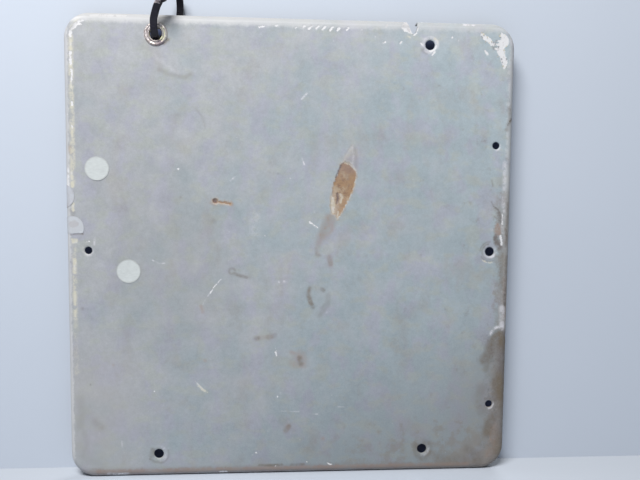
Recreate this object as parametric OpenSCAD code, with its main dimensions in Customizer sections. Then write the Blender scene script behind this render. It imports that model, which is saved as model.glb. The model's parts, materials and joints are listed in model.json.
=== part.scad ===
// Pressed steel sign plate with a brass eyelet, a hanging cable tie and four paper seals.
// The plate stands upright in XZ. Its painted face looks towards -Y and its rim is turned back towards +Y.
// The origin is the middle of the sheet's back face, where a post or a bracket bears. Millimetres, +Z up.

/* [Plate] */
// Width over the rim
plate_w = 305; // [240:1:600]
// Height over the rim
plate_h = 315; // [240:1:600]
// Thickness of the sheet
sheet_t = 1.2; // [0.8:0.1:2.5]
// Depth from the painted face to the rim's back edge
rim_depth = 10; // [8:0.5:30]
// Radius of the plate's corners, seen from the front
corner_r = 17; // [10:0.5:40]
// Outer radius of the bend between face and rim
bend_r = 4.5; // [3:0.1:7]

/* [Bolt holes] */
// Diameter of the bolt holes near the corners
bolt_d = 6.6; // [4:0.1:10]
// From the left and right edges to the bolt holes
bolt_inset_x = 60; // [30:0.5:80]
// From the top and bottom edges to the bolt holes
bolt_inset_z = 16; // [12:0.5:30]
// Diameter of the hole in the middle of the left side
left_hole_d = 5; // [3:0.1:8]
// Diameter of the hole in the middle of the right side
right_hole_d = 6.4; // [3:0.1:8]
// From the left and right edges to those two holes
side_inset = 14.5; // [11:0.1:20]
// Diameter of the two screw holes on the right
screw_d = 5; // [3:0.1:7]
// From the right edge to the screw holes
screw_inset = 12; // [9.5:0.5:20]
// From the top edge to the upper screw hole
screw_from_top = 83.5; // [60:0.5:100]
// From the bottom edge to the lower screw hole
screw_from_bottom = 48; // [40:0.5:90]

/* [Notch] */
// Width of the notch in the top edge
notch_w = 6.6; // [4:0.1:12]
// Depth of the notch below the top edge
notch_depth = 9; // [5:0.1:15]
// From the right edge to the middle of the notch
notch_inset = 73; // [68:0.5:100]

/* [Eyelet] */
// Clear bore of the eyelet
eye_bore_d = 8.2; // [7.4:0.1:10]
// Wall of the eyelet's barrel
eye_wall = 0.5; // [0.3:0.05:0.8]
// Diameter of the flange on the painted side
eye_flange_d = 15.8; // [14:0.1:18]
// Height of the flange's crown above the painted face
eye_crown = 1.1; // [0.8:0.1:1.6]
// Diameter of the washer on the back
washer_d = 15; // [14:0.1:20]
// Thickness of the washer
washer_t = 0.7; // [0.4:0.1:1.5]
// Width of the barrel's edge where it is rolled over the washer
roll_w = 1.3; // [0.8:0.1:2]
// From the left edge to the eyelet
eye_inset_x = 60.5; // [40:0.5:80]
// From the top edge to the eyelet
eye_inset_z = 13.5; // [12:0.5:20]

/* [Cable tie] */
// Width of the strap
strap_w = 4.8; // [3.6:0.1:5.2]
// Thickness of the strap
strap_t = 1.3; // [1:0.1:1.6]
// Width of the locking head
head_w = 8; // [7:0.1:10]
// Length of the locking head along the strap
head_l = 7.6; // [6:0.1:9]
// Thickness of the locking head
head_t = 5.4; // [4:0.1:6]
// Length of the cut tail that stands out of the head
tail_l = 4; // [2:0.5:12]
// How far the loop reaches above the plate's top edge
loop_rise = 19; // [18:0.5:30]

/* [Seals] */
// Diameter of the paper seals
seal_d = 16; // [10:0.5:20]
// Thickness of the paper with its glue
seal_t = 0.2; // [0.1:0.05:0.5]
// From the left edge to the upper seal
seal_upper_x = 21; // [15:0.5:60]
// Height of the upper seal above the middle
seal_upper_z = 55; // [46:0.5:90]
// From the left edge to the lower seal
seal_lower_x = 41; // [25:0.5:60]
// Height of the lower seal above the middle
seal_lower_z = -14; // [-60:0.5:-10]
// How far the torn seal reaches in from the left edge
seal_edge_reach = 12; // [9:0.5:13]
// Height of the torn seal above the middle
seal_edge_z = 15.5; // [14:0.5:20]
// How far the folded seal reaches in from the left edge
seal_wrapped_reach = 6; // [5:0.5:9]
// Height of the folded seal above the middle
seal_wrapped_z = 36.5; // [36:0.5:60]

/* [Hidden] */
$fn = 64;
EXTRA = 1;          // how far a cutter runs past what it cuts
JOIN = 0.01;        // how far two shapes that make one solid run into each other
PRESS_GAP = 0.05;   // gap round a pressed or glued piece
SEAT_GAP = 0.4;     // gap between the tie and the eyelet that carries it
FRONT_GAP = 3.4;    // from the eyelet's crown to the middle of the strap
BACK_GAP = 3.2;     // from the rim's back edge to the middle of the strap
SLOT_GAP = 0.4;     // room round the strap in the locking head
STRAP_STEPS = 4;    // rings of the strap for each stretch of its path
TORN_OFF = 4;       // height of the piece that is missing from the torn seal

left_x = -plate_w / 2;
right_x = plate_w / 2;
top_z = plate_h / 2;
bottom_z = -plate_h / 2;
face_y = -sheet_t;
rim_y = rim_depth - sheet_t;
eye_x = left_x + eye_inset_x;
eye_z = top_z - eye_inset_z;
bore_r = eye_bore_d / 2;
barrel_r = bore_r + eye_wall;

// ---- helpers -------------------------------------------------------------------------------------------------

// Turns a profile drawn as [radius, distance behind the origin plane] into a ring about an axis along Y.
module ring_about_y() {
    rotate([-90, 0, 0]) rotate_extrude() children();
}

// A round hole or disc along Y.
module disc_y(x, z, d, y0, y1) {
    translate([x, y0, z]) rotate([-90, 0, 0]) cylinder(d = d, h = y1 - y0);
}

// A skin that follows the bend and the rim, as [distance in from the edge, distance behind the painted face].
// It lies between two depths below the plate's outer surface and ends where the flat face starts.
module bend_profile(outer, inner, depth) {
    difference() {
        union() {
            intersection() {
                translate([bend_r, bend_r]) circle(r = bend_r - outer);
                translate([outer, outer]) square(bend_r - outer);
            }
            translate([outer, bend_r]) square([bend_r - outer, depth - bend_r]);
        }
        translate([bend_r, bend_r]) circle(r = bend_r - inner);
        translate([inner, bend_r]) square([bend_r + EXTRA, depth]);
    }
}

// ---- the plate -----------------------------------------------------------------------------------------------

// One straight stretch of the turned rim, centred on the origin and lying along X.
module rim_side(length) {
    translate([-length / 2, 0, 0]) rotate([90, 0, 90]) linear_extrude(length)
        bend_profile(0, sheet_t, rim_depth);
}

// One corner of the turned rim, a quarter turn about the corner's own centre.
module rim_corner() {
    rotate_extrude(angle = 90) translate([corner_r, 0]) mirror([1, 0])
        bend_profile(0, sheet_t, rim_depth);
}

// The flat of the plate inside the bends.
module flat_face() {
    x = plate_w / 2 - corner_r;
    z = plate_h / 2 - corner_r;
    linear_extrude(sheet_t) {
        square([plate_w - 2 * bend_r, 2 * z], center = true);
        square([2 * x, plate_h - 2 * bend_r], center = true);
        for (i = [-1, 1], j = [-1, 1]) translate([i * x, j * z]) circle(r = corner_r - bend_r);
    }
}

// The pressing before it is drilled, drawn lying on its face and then stood up.
module pressing() {
    x = plate_w / 2 - corner_r;
    z = plate_h / 2 - corner_r;
    translate([0, face_y, 0]) rotate([90, 0, 0]) mirror([0, 0, 1]) {
        flat_face();
        for (s = [-1, 1]) {
            rotate(s > 0 ? 180 : 0) translate([0, -plate_h / 2, 0]) rim_side(2 * x);
            rotate(s > 0 ? 90 : -90) translate([0, -plate_w / 2, 0]) rim_side(2 * z);
        }
        for (q = [0:3])
            translate([(q == 0 || q == 3 ? x : -x), (q < 2 ? z : -z), 0]) rotate(90 * q) rim_corner();
    }
}

module drill(x, z, d) {
    disc_y(x, z, d, face_y - EXTRA, EXTRA);
}

// The notch in the top edge, with a round bottom, cut through face and rim.
module notch() {
    x = right_x - notch_inset;
    middle_z = top_z - notch_depth + notch_w / 2;
    disc_y(x, middle_z, notch_w, face_y - EXTRA, rim_y + EXTRA);
    translate([x - notch_w / 2, face_y - EXTRA, middle_z])
        cube([notch_w, rim_depth + 2 * EXTRA, notch_depth]);
}

module sign_plate() {
    color([0.66, 0.69, 0.72]) difference() {
        pressing();
        drill(eye_x, eye_z, 2 * (barrel_r + PRESS_GAP));
        drill(right_x - bolt_inset_x, top_z - bolt_inset_z, bolt_d);
        for (x = [left_x + bolt_inset_x, right_x - bolt_inset_x])
            drill(x, bottom_z + bolt_inset_z, bolt_d);
        drill(left_x + side_inset, 0, left_hole_d);
        drill(right_x - side_inset, 0, right_hole_d);
        drill(right_x - screw_inset, top_z - screw_from_top, screw_d);
        drill(right_x - screw_inset, bottom_z + screw_from_bottom, screw_d);
        notch();
    }
}

// ---- the eyelet ----------------------------------------------------------------------------------------------

// The barrel with its crowned flange on the painted side and its edge rolled over the washer.
module eyelet_barrel() {
    flange_w = eye_flange_d / 2 - bore_r;
    crown_r = (flange_w * flange_w / 4 + eye_crown * eye_crown) / (2 * eye_crown);
    roll_y = washer_t + PRESS_GAP;
    color([0.71, 0.62, 0.42]) translate([eye_x, 0, eye_z]) ring_about_y() {
        translate([bore_r, face_y - eye_crown / 2])
            square([eye_wall, eye_crown / 2 + sheet_t + roll_y + eye_wall]);
        intersection() {
            translate([bore_r + flange_w / 2, face_y - eye_crown + crown_r]) circle(r = crown_r);
            translate([bore_r, face_y - eye_crown]) square([flange_w, eye_crown]);
        }
        translate([bore_r, roll_y]) square([eye_wall + roll_w, eye_wall]);
    }
}

module eyelet_washer() {
    color([0.62, 0.55, 0.40]) translate([eye_x, 0, eye_z]) ring_about_y()
        translate([barrel_r + PRESS_GAP, 0]) square([washer_d / 2 - barrel_r - PRESS_GAP, washer_t]);
}

// ---- the cable tie -------------------------------------------------------------------------------------------

seat_z = sqrt(bore_r * bore_r - strap_w * strap_w / 4) - SEAT_GAP - strap_t / 2;
front_y = face_y - eye_crown - FRONT_GAP;
back_y = rim_y + BACK_GAP;
crest_z = eye_inset_z + loop_rise;

// The head: its middle, the way the strap leaves it, and the way the tail goes through it.
head_mid = [5.6, front_y - 6, crest_z - 10.5];
head_up = unit([0.36, -0.45, 0.82]);
head_out = unit(across([0, -1, 0], head_up));

// The strap's middle line from the head, down the front, through the eyelet, up behind the rim and back to the
// head, as [place, way that the outer face looks]. Places are measured from the eyelet's centre.
strap_path = [
    [head_mid - head_up * head_l / 2, head_out],
    [[2.3, front_y - 2.9, crest_z - 16.6], [0, -1, -0.3]],
    [[1, front_y - 2, crest_z - 20], [0, -1, -0.2]],
    [[-0.2, front_y - 1.2, crest_z - 24.4], [0, -1, -0.1]],
    [[-0.3, front_y - 0.6, 3.8], [0, -1, -0.1]],
    [[-0.2, front_y + 0.3, 0.8], [0, -1, -0.4]],
    [[0, (front_y + face_y) / 2 - 0.6, -1.4], [0, -1, -1]],
    [[0, face_y - 0.4, -seat_z], [0, -0.2, -1]],
    [[0, washer_t + eye_wall, -seat_z], [0, 0.1, -1]],
    [[0.6, washer_t + 3.2, -seat_z + 0.4], [0, 0.3, -1]],
    [[2.2, rim_y - 0.8, -0.2], [0.2, 0.8, -1]],
    [[5.5, back_y - 1, 3.4], [0.3, 1, -0.5]],
    [[9.6, back_y + 0.7, 7.8], [0.3, 1, -0.1]],
    [[12.8, back_y + 1.2, 12.6], [0.2, 1, 0]],
    [[13.9, back_y + 1, crest_z - 14], [0.1, 1, 0]],
    [[14, back_y + 0.2, crest_z - 8.5], [0.1, 1, 0.1]],
    [[13.6, back_y - 1.8, crest_z - 3.6], [0.1, 1, 0.5]],
    [[12.4, back_y - 5.6, crest_z - 0.4], [0.2, 0.5, 1]],
    [[10.6, 1.6, crest_z - 0.5], [0.1, -0.3, 1]],
    [[8.4, -2.8, crest_z - 3.7], [0.1, -0.7, 1]],
    [head_mid - head_out * (head_t / 2 + 1.6), head_up],
    [head_mid + head_out * (head_t / 2 + tail_l), head_up],
];

function unit(v) = v / norm(v);

// The part of v that stands square to the unit vector t.
function across(v, t) = v - (v * t) * t;

// A smooth curve through four neighbouring values, at t between the middle two.
function smooth(a, b, c, d, t) =
    b + t / 2 * ((c - a) + t * ((2 * a - 5 * b + 4 * c - d) + t * (3 * (b - c) + d - a)));

function path_at(i, part, t) =
    let (last = len(strap_path) - 1, a = max(i - 1, 0), d = min(i + 2, last))
    smooth(strap_path[a][part], strap_path[i][part], strap_path[i + 1][part], strap_path[d][part], t);

// The four corners of the strap's section at step k of the whole path.
function strap_ring(k) =
    let (
        last = (len(strap_path) - 1) * STRAP_STEPS,
        i = min(floor(k / STRAP_STEPS), len(strap_path) - 2),
        t = k / STRAP_STEPS - i,
        step = 0.05,
        along = unit(path_at(i, 0, min(t + step, 1)) - path_at(i, 0, max(t - step, 0))),
        out = unit(across(path_at(i, 1, t), along)) * strap_t / 2,
        side = unit(cross(along, out)) * strap_w / 2,
        mid = path_at(i, 0, t)
    ) [mid + out + side, mid + out - side, mid - out - side, mid - out + side];

module strap() {
    last = (len(strap_path) - 1) * STRAP_STEPS;
    rings = [for (k = [0:last]) strap_ring(k)];
    points = [for (r = rings, p = r) p];
    walls = [for (k = [0:last - 1], j = [0:3])
        let (a = 4 * k + j, b = 4 * k + (j + 1) % 4) each [[a, b, b + 4], [a, b + 4, a + 4]]];
    ends = [[3, 2, 1], [3, 1, 0], [4 * last, 4 * last + 1, 4 * last + 2], [4 * last, 4 * last + 2, 4 * last + 3]];
    polyhedron(points, concat(walls, ends));
}

// Lays its children's X, Y and Z along the head's width, the tail and the strap.
module at_head() {
    side = cross(head_out, head_up);
    multmatrix([
        [side[0], head_out[0], head_up[0], head_mid[0]],
        [side[1], head_out[1], head_up[1], head_mid[1]],
        [side[2], head_out[2], head_up[2], head_mid[2]],
    ]) children();
}

// The locking head, a block with a slot that the strap runs through.
module head() {
    difference() {
        cube([head_w, head_t, head_l], center = true);
        cube([strap_w + 2 * SLOT_GAP, head_t + 2 * EXTRA, strap_t + 2 * SLOT_GAP], center = true);
    }
}

// The pawl that bites into the strap inside the slot and makes the tie one piece once it is closed.
module pawl() {
    cube([strap_w - 2 * SLOT_GAP, head_t / 3, strap_t + 2 * SLOT_GAP], center = true);
}

module cable_tie() {
    color([0.05, 0.05, 0.06]) translate([eye_x, 0, eye_z]) {
        strap();
        at_head() {
            head();
            pawl();
        }
    }
}

// ---- the seals -----------------------------------------------------------------------------------------------

seal_y = face_y - PRESS_GAP;

module flat_seal(inset, z) {
    color([0.83, 0.86, 0.87]) disc_y(left_x + inset, z, seal_d, seal_y - seal_t, seal_y);
}

// A skin of paper on the left edge: flat on the face, round the bend and down the rim.
module edge_skin(z) {
    translate([left_x, face_y, z - seal_d / 2]) linear_extrude(seal_d) {
        bend_profile(-PRESS_GAP - seal_t, -PRESS_GAP, rim_depth - PRESS_GAP);
        translate([bend_r - JOIN, -PRESS_GAP - seal_t]) square([seal_d, seal_t]);
    }
}

// A seal stuck over the left edge. reach is how far it comes in from the edge, seen from the front.
// Its round outline shows on the face and again on the rim, past the length that the bend takes up.
module edge_seal(reach, z) {
    along_bend = bend_r * PI / 2;
    rim_reach = seal_d - (reach - bend_r) - along_bend;
    color([0.80, 0.82, 0.83]) intersection() {
        edge_skin(z);
        disc_y(left_x + reach - seal_d / 2, z, seal_d, face_y - EXTRA, rim_y + EXTRA);
        translate([left_x - EXTRA, face_y + bend_r + rim_reach - seal_d / 2, z]) rotate([0, 90, 0])
            cylinder(d = seal_d, h = 2 * seal_d);
    }
}

module seal_upper() { flat_seal(seal_upper_x, seal_upper_z); }
module seal_lower() { flat_seal(seal_lower_x, seal_lower_z); }
module seal_wrapped() { edge_seal(seal_wrapped_reach, seal_wrapped_z); }

module seal_edge() {
    difference() {
        edge_seal(seal_edge_reach, seal_edge_z);
        translate([left_x - EXTRA, face_y - EXTRA, seal_edge_z - seal_d / 2 - EXTRA])
            cube([seal_d, rim_depth + 2 * EXTRA, TORN_OFF + EXTRA - PRESS_GAP]);
    }
}

sign_plate();
eyelet_barrel();
eyelet_washer();
cable_tie();
seal_upper();
seal_lower();
seal_edge();
seal_wrapped();
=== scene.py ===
"""Pressed steel sign plate with a turned rim, an eyelet, a hanging cable tie and four paper seals."""
import json
import math

import bmesh
import bpy
import numpy as np
from bpy.props import FloatProperty, FloatVectorProperty, IntProperty, PointerProperty
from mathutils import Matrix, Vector
from mathutils.geometry import delaunay_2d_cdt


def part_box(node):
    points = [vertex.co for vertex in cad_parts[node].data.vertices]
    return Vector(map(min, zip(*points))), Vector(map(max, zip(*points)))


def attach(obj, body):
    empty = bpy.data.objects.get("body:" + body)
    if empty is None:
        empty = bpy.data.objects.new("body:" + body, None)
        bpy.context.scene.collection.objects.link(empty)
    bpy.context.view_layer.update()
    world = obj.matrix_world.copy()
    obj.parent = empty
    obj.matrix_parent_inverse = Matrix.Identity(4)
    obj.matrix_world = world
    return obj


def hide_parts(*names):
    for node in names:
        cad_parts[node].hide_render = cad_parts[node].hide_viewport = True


bl_info = {
    "name": "Pressed Sign Plate",
    "version": (1, 0, 0),
    "blender": (4, 5, 0),
    "location": "3D View > Sidebar > Sign Plate",
    "description": "Builds a worn sign plate with its eyelet, cable tie and paper seals",
    "category": "Object",
}

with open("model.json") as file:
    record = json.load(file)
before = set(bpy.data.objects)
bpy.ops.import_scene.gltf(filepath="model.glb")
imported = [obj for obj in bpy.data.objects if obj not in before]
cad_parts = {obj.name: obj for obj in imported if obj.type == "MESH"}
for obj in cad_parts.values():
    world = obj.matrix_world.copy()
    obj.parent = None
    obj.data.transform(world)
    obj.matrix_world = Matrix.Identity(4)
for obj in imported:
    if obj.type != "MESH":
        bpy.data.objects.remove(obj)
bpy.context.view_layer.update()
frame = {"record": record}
MM = 0.001


def node_box(name):
    """Lowest and highest corner of a CAD node in millimetres."""
    low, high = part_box(name)
    return np.array(low) / MM, np.array(high) / MM


PLATE_LOW, PLATE_HIGH = node_box("sign_plate")
BARREL_LOW, BARREL_HIGH = node_box("eyelet_barrel")
FACE_Y = float(PLATE_LOW[1])
RIM_Y = float(PLATE_HIGH[1])
LEFT_X = float(PLATE_LOW[0])
EYE_X = float(BARREL_LOW[0] + BARREL_HIGH[0]) / 2
EYE_Z = float(BARREL_LOW[2] + BARREL_HIGH[2]) / 2
MOUNTS = {m["name"]: m for m in frame["record"]["mounts"]}


# ---- looks that a user may change ----

def length(name, text, default):
    """A size in metres."""
    return FloatProperty(name=name, description=text, default=default, min=0.0, subtype="DISTANCE",
                         unit="LENGTH")


def number(name, text, default, unit="NONE"):
    """A plain number, or a power in watts."""
    return FloatProperty(name=name, description=text, default=default, min=0.0, unit=unit)


def tint(name, text, default):
    """A colour in linear light."""
    return FloatVectorProperty(name=name, description=text, default=default, min=0.0, max=1.0, size=3,
                               subtype="COLOR")


class PlateLook(bpy.types.PropertyGroup):
    """Sizes and colours of the pressed plate."""

    corner_radius: length("Corner Radius", "Radius of the plate's corners", 0.017)
    bend_radius: length("Bend Radius", "Outer radius of the bend between face and rim", 0.0045)
    finest: length("Finest Spacing", "Spacing of the mesh beside marks", 0.00045)
    cool: tint("Cool Paint", "Bluish shade of the grey paint", (0.351, 0.411, 0.442))
    warm: tint("Warm Paint", "Neutral shade of the grey paint", (0.392, 0.406, 0.425))
    undercoat: tint("Undercoat", "White coat below the grey", (0.74, 0.74, 0.75))
    cream: tint("Cream Undercoat", "Yellowed coat below the grey", (0.64, 0.615, 0.50))
    rust: tint("Rust", "Bare rusty steel", (0.335, 0.215, 0.127))
    primer: tint("Back Primer", "Dull coat on the back", (0.26, 0.27, 0.28))


class EyeletLook(bpy.types.PropertyGroup):
    """Sizes and colours of the eyelet."""

    petals: IntProperty(name="Petals", description="Tongues that the barrel's end is split into",
                        default=8, min=3)
    brass: tint("Brass", "Tarnished metal", (0.42, 0.37, 0.345))
    tarnish: tint("Tarnish", "Dirt in the hollows", (0.21, 0.165, 0.165))


class TieLook(bpy.types.PropertyGroup):
    """Sizes and colours of the cable tie."""

    width: length("Strap Width", "Width of the strap", 0.0048)
    thickness: length("Strap Thickness", "Thickness of the strap", 0.0013)
    tooth_pitch: length("Tooth Pitch", "Distance between two teeth", 0.00125)
    nylon: tint("Nylon", "Black moulded nylon", (0.009, 0.008, 0.014))


class SealLook(bpy.types.PropertyGroup):
    """Sizes and colours of the paper seals."""

    diameter: length("Diameter", "Diameter of a seal", 0.016)
    curl: length("Curl", "Most that a seal's edge lifts", 0.00018)
    paper: tint("Paper", "Aged coated paper", (0.585, 0.620, 0.615))
    dirt: tint("Dirt", "Soiled edge of the paper", (0.33, 0.34, 0.33))


class StageLook(bpy.types.PropertyGroup):
    """Lights and backdrop."""

    backdrop: tint("Backdrop", "Pale backdrop and floor", (0.575, 0.630, 0.715))
    key: number("Key Light", "Power of the main light", 14.1, "POWER")
    rear: number("Rear Light", "Power of the light behind", 7.0, "POWER")
    sky: number("Sky", "Strength of the light from all round", 0.13)


# ---- materials ----

class Value:
    """A number in a node tree. Sums and products of it add Math nodes."""

    def __init__(self, tree, socket):
        self.tree = tree
        self.socket = socket

    def maths(self, operation, *terms):
        """A Math node with that operation on the terms."""
        return self.tree.node("ShaderNodeMath", {"operation": operation}, dict(enumerate(terms)))

    def __add__(self, other):
        return self.maths("ADD", self, other)

    def __sub__(self, other):
        return self.maths("SUBTRACT", self, other)

    def __rsub__(self, other):
        return self.maths("SUBTRACT", other, self)

    def __mul__(self, other):
        return self.maths("MULTIPLY", self, other)

    def __truediv__(self, other):
        return self.maths("DIVIDE", self, other)

    def __pow__(self, other):
        return self.maths("POWER", self, other)

    def __abs__(self):
        return self.maths("ABSOLUTE", self)

    def least(self, other):
        return self.maths("MINIMUM", self, other)

    def most(self, other):
        return self.maths("MAXIMUM", self, other)

    __radd__ = __add__
    __rmul__ = __mul__


class Tree:
    """A node tree that is built call by call."""

    def __init__(self, tree):
        self.tree = tree
        self.tree.nodes.clear()

    def node(self, kind, settings=None, sockets=None, out=0):
        """Adds a node: its settings first, then values or links for its sockets. Gives its output."""
        made = self.tree.nodes.new(kind)
        for key, value in (settings or {}).items():
            setattr(made, key, value)
        for key, value in (sockets or {}).items():
            if isinstance(value, Value):
                self.tree.links.new(value.socket, made.inputs[key])
            else:
                made.inputs[key].default_value = value
        return Value(self, made.outputs[out]) if len(made.outputs) else None

    def shown_rays(self):
        """1 for rays from the camera, from a mirror-like surface or through a clear one."""
        rays = [self.node("ShaderNodeLightPath", out=name)
                for name in ("Is Camera Ray", "Is Glossy Ray", "Is Transmission Ray")]
        return rays[0].most(rays[1]).most(rays[2])


def opaque(colour):
    """A colour with its alpha."""
    return (*tuple(colour)[:3], 1.0)


def away_from(x, z, middle_x, middle_z):
    """How far (x, z) is from a place."""
    return ((x - middle_x) ** 2 + (z - middle_z) ** 2) ** 0.5


class Finish(Tree):
    """A material made of nodes. Its colour is built up coat by coat."""

    def __init__(self, name):
        self.colour = None
        self.material = bpy.data.materials.new(name)
        self.material.use_nodes = True
        super().__init__(self.material.node_tree)
        self.place = self.node("ShaderNodeTexCoord", out="Object")

    def attribute(self, name):
        """A number that the mesh carries."""
        return self.node("ShaderNodeAttribute", {"attribute_name": name}, out="Fac")

    def noise(self, period, detail, rough=0.5, place=None):
        """Soft noise from -0.5 to 0.5, with that period in millimetres."""
        sockets = {"Vector": place or self.place, "Scale": 1 / (period * MM), "Detail": detail,
                   "Roughness": rough}
        return self.node("ShaderNodeTexNoise", None, sockets, out="Fac") - 0.5

    def stretched(self, x, y, z):
        """Object coordinates with each axis multiplied."""
        return self.node("ShaderNodeMapping", None, {"Vector": self.place, "Scale": (x, y, z)})

    def cells(self, period, out="Distance"):
        """Cell noise with that period in millimetres."""
        sockets = {"Vector": self.place, "Scale": 1 / (period * MM)}
        return self.node("ShaderNodeTexVoronoi", None, sockets, out)

    def ramp(self, value, low, high, start=0.0, end=1.0):
        """value from low to high, turned smoothly into start to end."""
        sockets = {"Value": value, "From Min": low, "From Max": high, "To Min": start, "To Max": end}
        return self.node("ShaderNodeMapRange", {"interpolation_type": "SMOOTHSTEP"}, sockets)

    def mix(self, first, second, factor):
        """Colour first where factor is 0, and second where it is 1."""
        pair = [c if isinstance(c, Value) else opaque(c) for c in (first, second)]
        sockets = {0: factor, 6: pair[0], 7: pair[1]}
        return self.node("ShaderNodeMix", {"data_type": "RGBA"}, sockets, out=2)

    def brighten(self, colour, factor):
        """A colour multiplied by a number."""
        sockets = {0: colour, 3: factor}
        return self.node("ShaderNodeVectorMath", {"operation": "SCALE"}, sockets)

    def coat(self, colour, factor):
        """Lays a colour over what is there, as strongly as factor says."""
        self.colour = self.mix(self.colour, colour, factor)

    def shade(self, factor):
        """Makes what is there brighter or darker."""
        self.colour = self.brighten(self.colour, factor)

    def part(self, axis):
        """One coordinate of the place, in millimetres."""
        split = self.node("ShaderNodeSeparateXYZ", None, {0: self.place}, out=axis)
        return split * (1 / MM)

    def bump(self, height, distance):
        """A normal from a height; distance in millimetres."""
        sockets = {"Height": height, "Distance": distance * MM, "Strength": 1.0}
        return self.node("ShaderNodeBump", None, sockets)

    def surface(self, **sockets):
        """The closing shader in the colour laid so far. A _ in a name stands for a space."""
        named = {key.replace("_", " "): value for key, value in sockets.items()}
        shader = self.node("ShaderNodeBsdfPrincipled", None, {"Base Color": self.colour, **named})
        return self.output(shader)

    def output(self, shader):
        """Ends the material in a shader."""
        self.node("ShaderNodeOutputMaterial", None, {"Surface": shader})
        return self.material


# ---- marks on the painted face ----
# Places are millimetres right of and above the plate's middle, seen from the painted side.

def arc(x, z, radius, start, end, count=10):
    """Points on an arc, angles in degrees from +X towards +Z."""
    angles = np.radians(np.linspace(start, end, count))
    return [(x + radius * math.cos(a), z + radius * math.sin(a)) for a in angles]


# Sharp-edged marks: (half width, outline or line). A half width of 0 means a filled outline.
RUST = [
    (0, [(35, 61.5), (38, 60), (41.4, 56.5), (42.6, 52.5), (41.6, 45.5), (39.2, 39.5), (37, 34.5),
         (34.4, 29.5), (32, 25.5), (30, 22.2), (28.4, 25), (26, 26), (25.2, 31), (25.8, 38), (26.6, 44),
         (28.2, 49.5), (30.6, 54.5), (32.6, 60)]),
    (1.8, [(-53.2, 33.9), (-52.8, 33.7)]), (0.75, [(-51, 33.4), (-47, 32.8), (-43.4, 32.2)]),
]
CREAM = [
    (0, [(25.6, 38.5), (27.6, 37), (28.4, 31), (28, 26.5), (26.2, 26), (25.2, 31)]),
    (0.7, [(31.8, 39.5), (33.2, 37.6), (32.2, 34)]), (0.45, [(30.6, 27.5), (30, 23.8)]),
    (0.35, [(34.6, 61.2), (38, 59.8), (41.6, 56.4)]), (0.8, [(-147.2, 139), (-147, 133)]),
    (0.6, [(-147.4, 112), (-147.3, 108)]), (0.6, [(-147.3, 80), (-147.2, 76)]),
    (0.9, [(-148, 52), (-147.8, 48)]), (0.8, [(-147.8, 45.5), (-147.7, 43)]),
    (0.9, [(-147.9, 34.5), (-147.6, 30), (-147.8, 27)]),
    (0, [(-149, 7.6), (-145, 7.8), (-144.8, 5), (-148.8, 4.8)]), (1.1, [(-147.2, -6), (-146.8, -8.5)]),
    (0.9, [(-147.2, -10), (-147.3, -15)]), (0.6, [(-147.2, -28), (-147.4, -37)]),
    (0.4, [(-147.3, -41), (-147.4, -45)]), (0.5, [(95, 146.2), (97, 144.6), (97.6, 142.6)]),
    (0.5, [(77, 147), (78.6, 146.2)]), (0.35, arc(138, 0, 7.8, -130, -72)),
    (0, [(-67.2, -90.4), (-65, -92), (-62.2, -95), (-58.8, -98.4), (-61.4, -98), (-64, -95.8),
         (-66.2, -93)]),
]
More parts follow.
